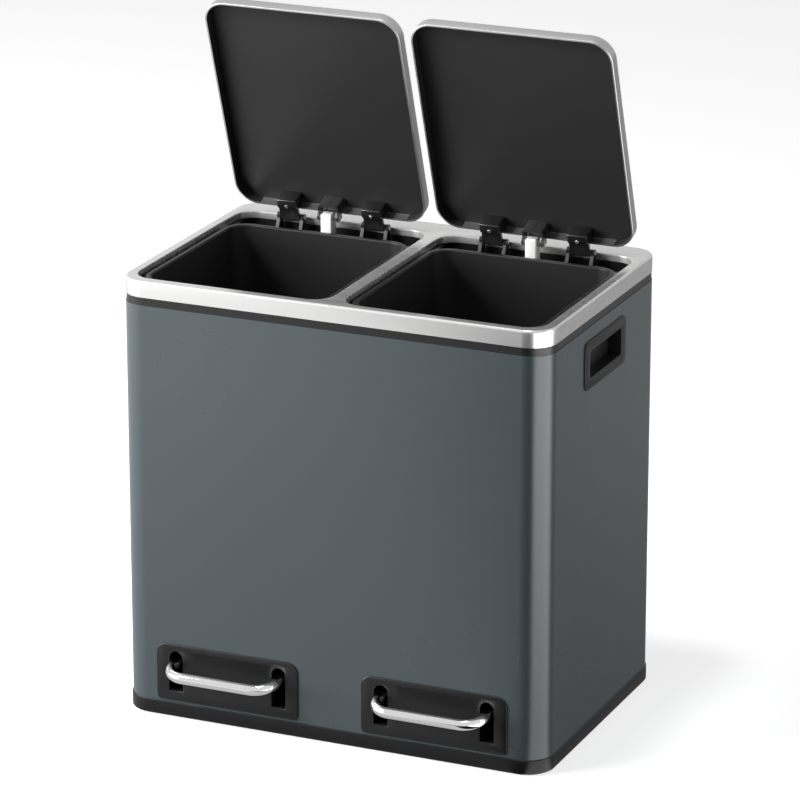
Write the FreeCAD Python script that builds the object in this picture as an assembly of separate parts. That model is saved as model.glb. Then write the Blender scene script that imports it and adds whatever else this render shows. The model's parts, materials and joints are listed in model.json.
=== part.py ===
import FreeCAD, Part
import math
import os

# Double recycling bin: two lidded compartments side by side in one sheet-steel body.
# Millimetres. +X to the right, +Y to the back, +Z up, floor at Z = 0.
# Everything is laid out about the middle of the body and moved once, at export,
# so that the origin lies under the middle of the whole object.

V = FreeCAD.Vector

# ---------------------------------------------------------------- driving sizes
# body
BODY_W = 580.0           # across the two compartments
BODY_D = 386.0           # front to back
CORNER_R = 34.0          # upright corners of the sleeve
SHEET_T = 1.0            # painted sheet of the sleeve
FOOT_STAND = 2.0         # feet stand this far below the base
BASE_H = 19.5
BASE_PROUD = 1.4         # base stands out past the sleeve
BASE_FLOOR_T = 6.0
BASE_WALL = 2.5
BASE_UPSTAND = 10.0      # wall inside the foot of the sleeve
BASE_EDGE = 2.5          # cut off the lower edge
BASE_RIB = 8.0           # ribs left between the pockets under the floor
BASE_POCKET_DEPTH = 2.5
POCKET_PITCH = 125.0     # pockets are about this far apart
SLEEVE_H = 527.0
FOOT_L = 44.0
FOOT_W = 24.0
FOOT_CUT = 5.0
FOOT_INSET = 46.0

# collar and trim ring
BAND_H = 10.5            # black band seen under the ring
BAND_INSET = 0.8
COLLAR_WALL = 2.5
COLLAR_SKIRT = 16.0
RING_H = 22.0
RING_T = 1.2
RING_EDGE = 3.0          # cut off the outer edge
RING_BAR = 13.5          # front and side bars
RING_CROSS = 18.0        # bar between the compartments
RING_REAR = 44.5         # rear deck
RING_FLANGE = 9.0        # inner edges turned down
OPENING_R = 27.0
LEDGE_DROP = 11.0        # bucket ledge below the ring top
SHELF_DROP = 21.0        # hinge shelf below the ring top
SHELF_T = 4.0

# lids
LID_OPEN = 71.0          # degrees, as photographed
LID_GAP = 0.8            # shut lid above the ring
LID_LAP = 1.5            # lid overlaps the opening
LID_H = 17.0
LID_T = 1.0
LID_R = 30.0
LID_EDGE = 3.5
LIP_W = 2.5
LIP_T = 1.2
LINER_T = 2.0
LINER_WALL = 1.2

# hinges
HINGE_INSET = 8.5        # axis in front of the rear edge of the opening
HINGE_RISE = 1.0         # axis above the ring top
HINGE_SPREAD = 60.0      # each hinge to the middle of its lid
LID_REAR_GAP = 14.0      # shut lid's rear edge in front of the axis
KNUCKLE_R = 5.0
HINGE_PIN_D = 5.0
LEAF_W = 27.0
LEAF_REACH = 30.5
LEAF_DROP = 9.0          # leaf below the axis when shut
LEAF_BACK = 18.0
NECK_TOP = 1.2           # neck of the leaf passes under the lid's lip
SEAT_EAR_T = 4.5
SEAT_PLATE_T = 3.0
SEAT_FRONT = 12.0        # foot of the ear, in front of and behind the axis
SEAT_BACK = 6.5

# push rod and what it lifts
LEVER_R = 18.0           # pin to hinge axis
LEVER_SHUT = -36.0       # degrees below level when the lid is shut
LEVER_PIN_D = 6.0
LEVER_BOSS_R = 5.5
LEVER_PLATE_T = 2.5
LEVER_FRONT = 30.0
LEVER_LIP = 10.0         # front web ends this far below the axis
HEAD_W = 15.0
HEAD_D = 16.0
HEAD_L = 62.0
HEAD_TOP = 6.0           # nylon above the middle of the slot
HEAD_EDGE = 3.5
SLOT_PLAY = 0.6
BUSH_WALL = 2.0
BUSH_LIP = 1.5          # flange past the sleeve
BUSH_FLANGE_T = 3.0
BUSH_SLEEVE = 14.0       # sleeve below the shelf
ROD_D = 6.0
ROD_IN_HEAD = 20.0
GUIDE_W = 24.0
GUIDE_T = 2.5
GUIDE_H = 126.0
GUIDE_BACK = 20.0        # upright behind the rod

# pedals
PLATE_W = 198.0
PLATE_H = 77.0
PLATE_T = 2.0
PLATE_LOW = 3.0          # plate above the base
PLATE_TOP_R = 14.0
PLATE_LOW_R = 6.0
PLATE_BOSS_INSET = 7.0
PLATE_BOSS_DEPTH = 14.0
PLATE_WALL = 2.0
SLOT_W = 19.3
SLOT_H = 54.0
SLOT_LOW = 13.5          # slot above the lower edge of the plate
ARM_SPREAD = 72.0        # each arm to the middle of the pedal
BAR_D = 14.5
BAR_REACH = 35.0         # bar in front of the sleeve
BAR_BEND_R = 25.0
BAR_TAIL = 10.0          # arm behind the pivot
SLOT_LEVEL = 51.0        # arm's height on the plate where it passes, lid open
PEDAL_TILT = 7.0         # arms slope down to the front, lid open
PEDAL_RISE = 8.0         # arm rises in the slot while the lid shuts
PIVOT_PIN_D = 8.0
LEVER_SHEET = 2.5
LEVER_WEB_UP = 10.0      # top of the web above the pivot
LEVER_DEEP = 9.0         # side walls below the pivot
LEVER_TAIL_W = 34.0
LEVER_TAIL_DEPTH = 9.0
LEVER_END = 12.0
EAR_T = 2.5
EAR_R = 9.0
EAR_FOOT = 17.0

# carry handles
GRIP_W = 108.0
GRIP_H = 35.0
GRIP_R = 5.0
GRIP_DEPTH = 18.0
HANDLE_W = 139.5
HANDLE_H = 63.0
HANDLE_R = 10.0
HANDLE_T = 2.0
HANDLE_WALL = 2.0
HANDLE_DOWN = 48.5       # middle of the grip below the top of the sleeve

# buckets
BUCKET_RIM_W = 6.0
BUCKET_T = 2.0
BUCKET_RIM_H = 6.0
BUCKET_R = 26.0
BUCKET_TAPER = 11.0      # each side is this much smaller at the bottom
BUCKET_DEPTH = 468.0

# screws
SCREW_HEAD_D = 5.0
SCREW_HEAD_H = 1.4

# how finely small round things are drawn, so that the whole model stays light
PIN_SIDES = 16
BAR_SIDES = 14
SCREW_SIDES = 6

# ------------------------------------------------------------------- clearances
SLIDE_FIT = 0.3          # nylon head in its bush, rod in its guide
PIN_FIT = 0.05           # hinge and pivot pins, on the radius
NEST_FIT = 0.15          # collar and base inside the sleeve
SIDE_FIT = 0.8           # between ears and what turns between them
WINDOW_PLAY = 4.0        # window in the sleeve round the cup of a carry handle
BUCKET_FIT = 5.0         # bucket rim inside the opening
LEDGE_FIT = 2.0          # bucket wall inside its ledge
ROD_FOOT_FIT = 0.3       # rod above the lever
HEAD_FIT = 4.5           # lid bracket beside the nylon head

# ------------------------------------------------------------------ derived
HALF_W = BODY_W / 2
HALF_D = BODY_D / 2
BASE_TOP = FOOT_STAND + BASE_H
FLOOR_Z = FOOT_STAND + BASE_FLOOR_T
SLEEVE_TOP = BASE_TOP + SLEEVE_H
BAND_TOP = SLEEVE_TOP + BAND_H
RING_TOP = BAND_TOP + RING_H
RING_UNDER = RING_TOP - RING_T

OPEN_IN = RING_CROSS / 2                     # inner edge of an opening, from the middle
OPEN_OUT = HALF_W - RING_BAR
OPEN_FRONT = -HALF_D + RING_BAR
OPEN_REAR = HALF_D - RING_REAR
BIN_X = (OPEN_IN + OPEN_OUT) / 2             # middle of one compartment
OPEN_HALF = (OPEN_OUT - OPEN_IN) / 2

HINGE_Y = OPEN_REAR - HINGE_INSET
HINGE_Z = RING_TOP + HINGE_RISE
LIP_Z = RING_TOP + LID_GAP                   # lip of the shut lid
LID_REAR = HINGE_Y - LID_REAR_GAP
LID_FRONT = OPEN_FRONT - LID_LAP
LID_HALF = OPEN_HALF + LID_LAP
LINER_Z = LIP_Z + LID_H - LID_T - LINER_T    # face of the lining, shut
SHELF_Z = RING_TOP - SHELF_DROP
LEDGE_Z = RING_TOP - LEDGE_DROP

# the pin on the lid swings from LEVER_SHUT to LEVER_UP; the rod stands under the
# middle of its sideways travel
LEVER_UP = LEVER_SHUT + LID_OPEN


def lever_reach(angle):
    """How far in front of the hinge axis the lid's pin lies at this angle."""
    return LEVER_R * math.cos(math.radians(angle))


def lever_height(angle):
    """How far above the hinge axis the lid's pin lies at this angle."""
    return LEVER_R * math.sin(math.radians(angle))


PIN_NEAR = min(lever_reach(LEVER_SHUT), lever_reach(LEVER_UP))
PIN_FAR = LEVER_R
PIN_DRIFT = PIN_FAR - PIN_NEAR
ROD_Y = HINGE_Y - (PIN_NEAR + PIN_FAR) / 2
ROD_STROKE = lever_height(LEVER_UP) - lever_height(LEVER_SHUT)
SLOT_Z = HINGE_Z + lever_height(LEVER_UP)
HEAD_TOP_Z = SLOT_Z + HEAD_TOP
HEAD_LOW_Z = HEAD_TOP_Z - HEAD_L

# rear wall of the ledge stands clear of the bush, and the bucket of that wall
BUSH_HALF_W = HEAD_W / 2 + SLIDE_FIT + BUSH_WALL
BUSH_HALF_D = HEAD_D / 2 + SLIDE_FIT + BUSH_WALL
LEDGE_WALL_REAR = ROD_Y - BUSH_HALF_D - BUSH_LIP - PIN_FIT
RIM_REAR = LEDGE_WALL_REAR - COLLAR_WALL - PIN_FIT * 10
RIM_FRONT = OPEN_FRONT + BUCKET_FIT
RIM_HALF = OPEN_HALF - BUCKET_FIT
RIM_Z = LEDGE_Z + BUCKET_RIM_H

PLATE_Z = BASE_TOP + PLATE_LOW
SLOT_Z0 = PLATE_Z + SLOT_LOW
SLOT_Z1 = SLOT_Z0 + SLOT_H
ARM_Z = PLATE_Z + SLOT_LEVEL                 # arm at the plane of the sleeve
# one stroke of the rod and one rise of the arm share the pivot between them
ARM_SPAN = (ROD_Y + HALF_D) * PEDAL_RISE / (PEDAL_RISE + ROD_STROKE)
PIVOT_Y = -HALF_D + ARM_SPAN
PIVOT_Z = ARM_Z + ARM_SPAN * math.tan(math.radians(PEDAL_TILT))
WEB_TOP = PIVOT_Z + LEVER_WEB_UP
EAR_X = ARM_SPREAD + BAR_D / 2 + SIDE_FIT
LEVER_HALF = ARM_SPREAD - BAR_D / 2
ROD_LOW_Z = WEB_TOP + ROD_FOOT_FIT
GRIP_Z = SLEEVE_TOP - HANDLE_DOWN
SEAT_HALF = LEAF_W / 2 + SIDE_FIT + SEAT_EAR_T

# the origin lies under the middle of the box round everything
BAR_FRONT = -HALF_D - BAR_REACH - BAR_D / 2
ORIGIN_Y = (BAR_FRONT + HALF_D + BASE_PROUD) / 2

PARTS_DIR = "parts"
SIDES = (("left", -1), ("right", 1))


# ---------------------------------------------------------------- small helpers
def rounded_face(x0, x1, y0, y1, r, z):
    """A level rectangle with round corners."""
    r = min(r, (x1 - x0) / 2 - 0.01, (y1 - y0) / 2 - 0.01)
    k = r * (1 - math.sqrt(0.5))
    edges = [
        Part.LineSegment(V(x0 + r, y0, z), V(x1 - r, y0, z)),
        Part.Arc(V(x1 - r, y0, z), V(x1 - k, y0 + k, z), V(x1, y0 + r, z)),
        Part.LineSegment(V(x1, y0 + r, z), V(x1, y1 - r, z)),
        Part.Arc(V(x1, y1 - r, z), V(x1 - k, y1 - k, z), V(x1 - r, y1, z)),
        Part.LineSegment(V(x1 - r, y1, z), V(x0 + r, y1, z)),
        Part.Arc(V(x0 + r, y1, z), V(x0 + k, y1 - k, z), V(x0, y1 - r, z)),
        Part.LineSegment(V(x0, y1 - r, z), V(x0, y0 + r, z)),
        Part.Arc(V(x0, y0 + r, z), V(x0 + k, y0 + k, z), V(x0 + r, y0, z)),
    ]
    return Part.Face(Part.Wire([e.toShape() for e in edges]))


def rounded_block(x0, x1, y0, y1, z0, z1, r):
    return rounded_face(x0, x1, y0, y1, r, z0).extrude(V(0, 0, z1 - z0))


def body_block(inset, z0, z1):
    """Block on the body's outline, drawn in by inset (out where negative)."""
    w = HALF_W - inset
    d = HALF_D - inset
    return rounded_block(-w, w, -d, d, z0, z1, CORNER_R - inset)


def opening_block(cx, grow, z0, z1):
    """Block on the outline of one opening of the ring, grown outwards by grow."""
    half = OPEN_HALF + grow
    return rounded_block(cx - half, cx + half, OPEN_FRONT - grow, OPEN_REAR + grow,
                         z0, z1, OPENING_R + grow)


def box(x0, x1, y0, y1, z0, z1):
    return Part.makeBox(x1 - x0, y1 - y0, z1 - z0, V(x0, y0, z0))


def round_points(r, sides, bore):
    """Corners of a many-sided round: on the circle for a bar, outside it for a bore."""
    reach = r / math.cos(math.pi / sides) if bore else r
    step = 2 * math.pi / sides
    angles = [(i + 0.5) * step for i in range(sides)]
    return [(reach * math.cos(a), reach * math.sin(a)) for a in angles]


def x_round(r, x0, x1, y, z, bore=False, sides=PIN_SIDES):
    """Round bar or bore across the bin."""
    ring = [V(x0, y + a, z + b) for a, b in round_points(r, sides, bore)]
    return Part.Face(Part.makePolygon(ring + ring[:1])).extrude(V(x1 - x0, 0, 0))


def z_round(r, x, y, z0, z1, bore=False, sides=PIN_SIDES):
    """Upright round bar or bore."""
    ring = [V(x + a, y + b, z0) for a, b in round_points(r, sides, bore)]
    return Part.Face(Part.makePolygon(ring + ring[:1])).extrude(V(0, 0, z1 - z0))


def inner_cut(cut, wall):
    """Cut on the inside of an edge that keeps the wall even behind the cut outside."""
    return cut - wall * (2 - math.sqrt(2))


def x_prism(points, x0, x1):
    """Side outline of (y, z) points, carried across from x0 to x1."""
    ring = [V(x0, y, z) for y, z in points]
    return Part.Face(Part.makePolygon(ring + ring[:1])).extrude(V(x1 - x0, 0, 0))


def level_edges(shape, z, tol=0.01):
    """Edges that lie wholly at height z."""
    found = []
    for edge in shape.Edges:
        b = edge.BoundBox
        if abs(b.ZMin - z) < tol and abs(b.ZMax - z) < tol:
            found.append(edge)
    return found


def swung_open(shape):
    """A piece modelled on the shut lid, turned up to where the lid stands open."""
    turned = shape.copy()
    turned.rotate(V(0, HINGE_Y, HINGE_Z), V(1, 0, 0), -LID_OPEN)
    return turned


def from_axis(reach, rise):
    """(y, z) of a point given by its reach in front of and rise above the hinge axis."""
    return (HINGE_Y - reach, HINGE_Z + rise)


def ear_outline(y, z, r, front, back, foot_z):
    """(y, z) outline of an ear: a wide foot at foot_z and a round head about y, z."""
    k = r * math.tan(math.pi / 8)
    return [(y - front, foot_z), (y + back, foot_z), (y + r, z - k), (y + r, z + k),
            (y + k, z + r), (y - k, z + r), (y - r, z + k), (y - r, z - k)]


# ------------------------------------------------------------------ body pieces
def make_body_shell():
    """Sleeve of thin sheet with windows for the pedal plates and the grips."""
    sleeve = body_block(0, BASE_TOP, SLEEVE_TOP).cut(
        body_block(SHEET_T, BASE_TOP - 1, SLEEVE_TOP + 1))
    deep = 2 * SHEET_T
    for _, side in SIDES:
        x = side * BIN_X
        inset = PLATE_BOSS_INSET - NEST_FIT
        sleeve = sleeve.cut(box(x - PLATE_W / 2 + inset, x + PLATE_W / 2 - inset,
                                -HALF_D - deep, -HALF_D + deep,
                                PLATE_Z + inset, PLATE_Z + PLATE_H - inset))
        half_w = GRIP_W / 2 + HANDLE_WALL + WINDOW_PLAY
        half_h = GRIP_H / 2 + HANDLE_WALL + WINDOW_PLAY
        wall_x = side * HALF_W
        sleeve = sleeve.cut(box(wall_x - deep, wall_x + deep, -half_w, half_w,
                                GRIP_Z - half_h, GRIP_Z + half_h))
    return sleeve


def make_base_moulding():
    """Tray under the sleeve: proud skirting, upstand inside the sleeve, ribbed underside."""
    outer = body_block(-BASE_PROUD, FOOT_STAND, BASE_TOP)
    outer = outer.makeChamfer(BASE_EDGE, level_edges(outer, FOOT_STAND))
    seat = SHEET_T + NEST_FIT
    upstand = body_block(seat, BASE_TOP - 1, BASE_TOP + BASE_UPSTAND)
    base = outer.fuse(upstand)
    base = base.cut(body_block(seat + BASE_WALL, FLOOR_Z, BASE_TOP + BASE_UPSTAND + 1))
    # pockets under the floor leave a grid of ribs between them
    width = BODY_W - 2 * (FOOT_INSET + FOOT_L / 2 + BASE_RIB)
    depth = BODY_D - 2 * CORNER_R
    across = max(1, round(width / POCKET_PITCH))
    along = max(1, round(depth / POCKET_PITCH))
    step_x = (width + BASE_RIB) / across
    step_y = (depth + BASE_RIB) / along
    for i in range(across):
        for j in range(along):
            x0 = -width / 2 + i * step_x
            y0 = -depth / 2 + j * step_y
            base = base.cut(box(x0, x0 + step_x - BASE_RIB, y0, y0 + step_y - BASE_RIB,
                                FOOT_STAND - 1, FOOT_STAND + BASE_POCKET_DEPTH))
    return base


def foot_places():
    x = HALF_W - FOOT_INSET
    y = HALF_D - FOOT_INSET
    return {
        "foot_front_left": (-x, -y),
        "foot_front_right": (x, -y),
        "foot_rear_left": (-x, y),
        "foot_rear_right": (x, y),
    }


def make_foot(x, y):
    """Rubber pad with its corners cut off."""
    a = FOOT_L / 2
    b = FOOT_W / 2
    c = FOOT_CUT
    plan = [(-a + c, -b), (a - c, -b), (a, -b + c), (a, b - c), (a - c, b), (-a + c, b),
            (-a, b - c), (-a, -b + c)]
    ring = [V(x + px, y + py, 0) for px, py in plan]
    return Part.Face(Part.makePolygon(ring + ring[:1])).extrude(V(0, 0, FOOT_STAND))


def make_collar_frame():
    """Moulded frame: outer band, walls under the ring, bucket ledges and rear shelf."""
    grow = RING_T + NEST_FIT
    skirt_in = SHEET_T + NEST_FIT
    band = body_block(BAND_INSET, SLEEVE_TOP, BAND_TOP)
    core = body_block(grow, BAND_TOP, RING_UNDER)
    core = core.makeChamfer(inner_cut(RING_EDGE, RING_T), level_edges(core, RING_UNDER))
    skirt = body_block(skirt_in, SLEEVE_TOP - COLLAR_SKIRT, SLEEVE_TOP + 1).cut(
        body_block(skirt_in + COLLAR_WALL, SLEEVE_TOP - COLLAR_SKIRT - 1, SLEEVE_TOP + 2))
    frame = band.fuse(core).fuse(skirt)
    low = SLEEVE_TOP - 2
    high = RING_UNDER - COLLAR_WALL
    wall = grow + COLLAR_WALL
    inner = skirt_in + COLLAR_WALL
    # the deck behind the openings is hollow from below
    frame = frame.cut(box(-HALF_W + CORNER_R, HALF_W - CORNER_R, OPEN_REAR + wall,
                          HALF_D - inner, low, high))
    for _, side in SIDES:
        cx = side * BIN_X
        frame = frame.cut(opening_block(cx, grow, LEDGE_Z, RING_TOP + 1))
        half = RIM_HALF - BUCKET_RIM_W + LEDGE_FIT
        front = RIM_FRONT + BUCKET_RIM_W - LEDGE_FIT
        frame = frame.cut(rounded_block(cx - half, cx + half, front,
                                        RIM_REAR - BUCKET_RIM_W + LEDGE_FIT,
                                        low, RING_TOP, BUCKET_R))
        # channels under the front, outer and inner ledges
        x_far = cx + side * (half + COLLAR_WALL)
        x_out = side * (HALF_W - inner)
        ends = (OPEN_FRONT + OPENING_R, RIM_REAR - BUCKET_R)
        frame = frame.cut(box(min(x_far, x_out), max(x_far, x_out), ends[0], ends[1],
                              low, LEDGE_Z - SHELF_T))
        frame = frame.cut(box(cx - half + BUCKET_R, cx + half - BUCKET_R, -HALF_D + inner,
                              front - COLLAR_WALL, low, LEDGE_Z - SHELF_T))
        # rear shelf, lower than the ledge
        shelf_half = OPEN_HALF - OPENING_R / 4
        frame = frame.cut(box(cx - shelf_half, cx + shelf_half, LEDGE_WALL_REAR,
                              OPEN_REAR + grow, SHELF_Z, RING_UNDER - COLLAR_WALL))
        under = box(cx - shelf_half, cx + shelf_half, LEDGE_WALL_REAR, OPEN_REAR,
                    low, SHELF_Z - SHELF_T)
        boss = box(cx - BUSH_HALF_W - BUSH_WALL, cx + BUSH_HALF_W + BUSH_WALL,
                   LEDGE_WALL_REAR - 1, OPEN_REAR + 1, low, SHELF_Z)
        frame = frame.cut(under.cut(boss))
        frame = frame.cut(box(cx - BUSH_HALF_W - PIN_FIT, cx + BUSH_HALF_W + PIN_FIT,
                              ROD_Y - BUSH_HALF_D - PIN_FIT, ROD_Y + BUSH_HALF_D + PIN_FIT,
                              low, SHELF_Z + 1))
    return frame


def make_trim_ring():
    """Figure-eight ring pressed from sheet, with its inner edges turned down."""
    outer = body_block(0, BAND_TOP, RING_TOP)
    outer = outer.makeChamfer(RING_EDGE, level_edges(outer, RING_TOP))
    inner = body_block(RING_T, BAND_TOP - 1, RING_UNDER)
    inner = inner.makeChamfer(inner_cut(RING_EDGE, RING_T), level_edges(inner, RING_UNDER))
    ring = outer.cut(inner)
    for _, side in SIDES:
        ring = ring.fuse(opening_block(side * BIN_X, RING_T, RING_TOP - RING_FLANGE,
                                       RING_UNDER + RING_T / 2))
    for _, side in SIDES:
        ring = ring.cut(opening_block(side * BIN_X, 0, BAND_TOP - 1, RING_TOP + 1))
    return ring.removeSplitter()


def make_side_handle(side):
    """Recessed carry handle: a plate with a closed grip cup behind it."""
    plate = rounded_face(-HANDLE_H / 2, HANDLE_H / 2, -HANDLE_W / 2, HANDLE_W / 2,
                         HANDLE_R, 0).extrude(V(0, 0, HANDLE_T))
    half_w = GRIP_W / 2 + HANDLE_WALL
    half_h = GRIP_H / 2 + HANDLE_WALL
    cup = box(-half_h, half_h, -half_w, half_w, HANDLE_T - GRIP_DEPTH - HANDLE_WALL,
              HANDLE_T / 2)
    grip = rounded_block(-GRIP_H / 2, GRIP_H / 2, -GRIP_W / 2, GRIP_W / 2,
                         HANDLE_T - GRIP_DEPTH, HANDLE_T + 1, GRIP_R)
    handle = plate.fuse(cup).cut(grip).removeSplitter()
    handle.rotate(V(0, 0, 0), V(0, 1, 0), 90)
    handle.translate(V(HALF_W, 0, GRIP_Z))
    if side < 0:
        handle = handle.mirror(V(0, 0, 0), V(1, 0, 0))
    return handle


def make_bucket(cx):
    """Tapered bucket with a thick rim that hangs on the collar's ledge."""
    def outline(inset, z, r):
        return rounded_face(cx - RIM_HALF + inset, cx + RIM_HALF - inset,
                            RIM_FRONT + inset, RIM_REAR - inset, r, z).OuterWire

    low_z = RIM_Z - BUCKET_DEPTH
    top_in = BUCKET_RIM_W
    low_in = BUCKET_RIM_W + BUCKET_TAPER
    body = Part.makeLoft([outline(low_in, low_z, BUCKET_R),
                          outline(top_in, RIM_Z, BUCKET_R)], True, True)
    slope = BUCKET_TAPER / BUCKET_DEPTH
    cavity_low = low_in + BUCKET_T - slope * BUCKET_T
    cavity = Part.makeLoft([outline(cavity_low, low_z + BUCKET_T, BUCKET_R - BUCKET_T),
                            outline(top_in + BUCKET_T, RIM_Z + slope, BUCKET_R - BUCKET_T)],
                           True, True)
    rim = rounded_block(cx - RIM_HALF, cx + RIM_HALF, RIM_FRONT, RIM_REAR,
                        LEDGE_Z, RIM_Z, BUCKET_R + BUCKET_RIM_W)
    return rim.fuse(body).cut(cavity)


# ------------------------------------------------------------------- lid pieces
def lid_block(cx, inset, z0, z1, r):
    return rounded_block(cx - LID_HALF + inset, cx + LID_HALF - inset,
                         LID_FRONT + inset, LID_REAR - inset, z0, z1, r)


def make_lid_pan(cx):
    """Steel pan with a narrow lip turned in round its open edge."""
    top = LIP_Z + LID_H
    outer = lid_block(cx, 0, LIP_Z, top, LID_R)
    outer = outer.makeChamfer(LID_EDGE, level_edges(outer, top))
    inner = lid_block(cx, LID_T, LIP_Z + LIP_T, top - LID_T, LID_R - LID_T)
    inner = inner.makeChamfer(inner_cut(LID_EDGE, LID_T), level_edges(inner, top - LID_T))
    mouth = lid_block(cx, LIP_W, LIP_Z - 1, LIP_Z + LIP_T + 1, LID_R - LIP_W)
    return swung_open(outer.cut(inner).cut(mouth))


def make_lid_liner(cx):
    """Lining tray: flat face, with walls down the front and sides but not at the hinges."""
    top = LIP_Z + LID_H - LID_T
    inset = LID_T + PIN_FIT
    slab = lid_block(cx, inset, LIP_Z + LIP_T, top, LID_R - inset)
    slab = slab.makeChamfer(inner_cut(LID_EDGE, LID_T), level_edges(slab, top))
    hollow = lid_block(cx, inset + LINER_WALL, LIP_Z, LINER_Z, LID_R - inset - LINER_WALL)
    tray = slab.cut(hollow)
    rear_gap = box(cx - LID_HALF + LID_R, cx + LID_HALF - LID_R,
                   LID_REAR - inset - LINER_WALL - 1, LID_REAR + 1, LIP_Z, LINER_Z)
    return swung_open(tray.cut(rear_gap))


def make_hinge_leaf(x):
    """Moulded leaf: block on the lining, neck under the lip, knuckle on the axis."""
    x0 = x - LEAF_W / 2
    x1 = x + LEAF_W / 2
    top = LINER_Z - HINGE_Z
    r = KNUCKLE_R
    k = r * math.tan(math.pi / 8)
    leaf = x_prism([from_axis(LEAF_BACK, top), from_axis(LEAF_REACH, top),
                    from_axis(LEAF_REACH, -LEAF_DROP + 2), from_axis(LEAF_REACH - 2, -LEAF_DROP),
                    from_axis(LEAF_BACK, -LEAF_DROP), from_axis(LEAF_BACK - 4, -r),
                    from_axis(-k, -r), from_axis(-r, -k), from_axis(-r, k), from_axis(-k, r),
                    from_axis(k, r), from_axis(r, k), from_axis(r, -NECK_TOP),
                    from_axis(LEAF_BACK, -NECK_TOP)], x0, x1)
    bore = x_round(HINGE_PIN_D / 2 + PIN_FIT, x0 - 1, x1 + 1, HINGE_Y, HINGE_Z, bore=True)
    return swung_open(leaf.cut(bore))


def make_hinge_seat(x):
    """Seat on the rear shelf with two ears that carry the hinge pin."""
    z0 = SHELF_Z
    seat = box(x - SEAT_HALF - 1, x + SEAT_HALF + 1, LEDGE_WALL_REAR + 1, OPEN_REAR - 1,
               z0, z0 + SEAT_PLATE_T)
    outline = ear_outline(HINGE_Y, HINGE_Z, KNUCKLE_R, SEAT_FRONT, SEAT_BACK, z0 + 1)
    for s in (-1, 1):
        a = x + s * (LEAF_W / 2 + SIDE_FIT)
        b = x + s * SEAT_HALF
        seat = seat.fuse(x_prism(outline, min(a, b), max(a, b)))
    bore = x_round(HINGE_PIN_D / 2, x - SEAT_HALF - 2, x + SEAT_HALF + 2, HINGE_Y, HINGE_Z)
    return seat.cut(bore)


def make_hinge_pin(x):
    """Pin held in the ears of its seat; the leaf turns on it."""
    reach = SEAT_HALF + 1
    return x_round(HINGE_PIN_D / 2, x - reach, x + reach, HINGE_Y, HINGE_Z)


def make_lever_bracket(cx):
    """U bracket under the shut lid: two cheeks with the pin, joined by a bent front web."""
    top = LINER_Z - HINGE_Z
    reach = lever_reach(LEVER_SHUT)
    rise = lever_height(LEVER_SHUT)
    inner = HEAD_W / 2 + HEAD_FIT
    outer = inner + LEVER_PLATE_T
    r = LEVER_BOSS_R
    k = r * math.tan(math.pi / 8)
    bend = LEVER_PLATE_T
    side = [from_axis(LEAF_BACK, top), from_axis(LEVER_FRONT, top),
            from_axis(LEVER_FRONT, -LEVER_LIP + bend), from_axis(LEVER_FRONT - bend, -LEVER_LIP),
            from_axis(reach + k, rise - r), from_axis(reach - k, rise - r),
            from_axis(reach - r, rise - k), from_axis(reach - r, rise + k),
            from_axis(LEAF_BACK, -NECK_TOP)]
    full = x_prism(side, cx - outer, cx + outer)
    # the space between the cheeks, open at the back and below
    web = LEVER_FRONT - LEVER_PLATE_T
    space = x_prism([from_axis(0, top - LEVER_PLATE_T), from_axis(web, top - LEVER_PLATE_T),
                     from_axis(web, -LEVER_LIP + bend), from_axis(web - bend, -LEVER_LIP - 1),
                     from_axis(web - bend, rise - r - 1), from_axis(0, rise - r - 1)],
                    cx - inner, cx + inner)
    pin = from_axis(reach, rise)
    bore = x_round(LEVER_PIN_D / 2, cx - outer - 1, cx + outer + 1, pin[0], pin[1])
    return swung_open(full.cut(space).cut(bore))


def make_lever_pin(cx):
    """White pin held in the cheeks; the rod's head hangs on it by its slot."""
    reach = HEAD_W / 2 + HEAD_FIT + LEVER_PLATE_T + 1.5
    y, z = from_axis(lever_reach(LEVER_SHUT), lever_height(LEVER_SHUT))
    return swung_open(x_round(LEVER_PIN_D / 2, cx - reach, cx + reach, y, z))


def screw(x, y, z, up):
    """Six-sided screw head that stands on a level face, above it or below it."""
    ring = [V(x + a, y + b, z) for a, b in round_points(SCREW_HEAD_D / 2, SCREW_SIDES, False)]
    return Part.Face(Part.makePolygon(ring + ring[:1])).extrude(V(0, 0, up * SCREW_HEAD_H))


def make_hinge_screws(cx):
    """One screw through the front of each leaf of this lid."""
    y, z = from_axis(LEAF_BACK + 3.5, -LEAF_DROP)
    heads = [screw(cx + s * HINGE_SPREAD, y, z, -1) for s in (-1, 1)]
    return swung_open(Part.makeCompound(heads))


def make_seat_screws():
    """Two screws hold each hinge seat on the shelf."""
    y = LEDGE_WALL_REAR + 1 + SCREW_HEAD_D
    heads = []
    for _, side in SIDES:
        for s in (-1, 1):
            for t in (-1, 1):
                x = side * BIN_X + s * HINGE_SPREAD + t * LEAF_W / 3
                heads.append(screw(x, y, SHELF_Z + SEAT_PLATE_T, 1))
    return Part.makeCompound(heads)


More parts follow.
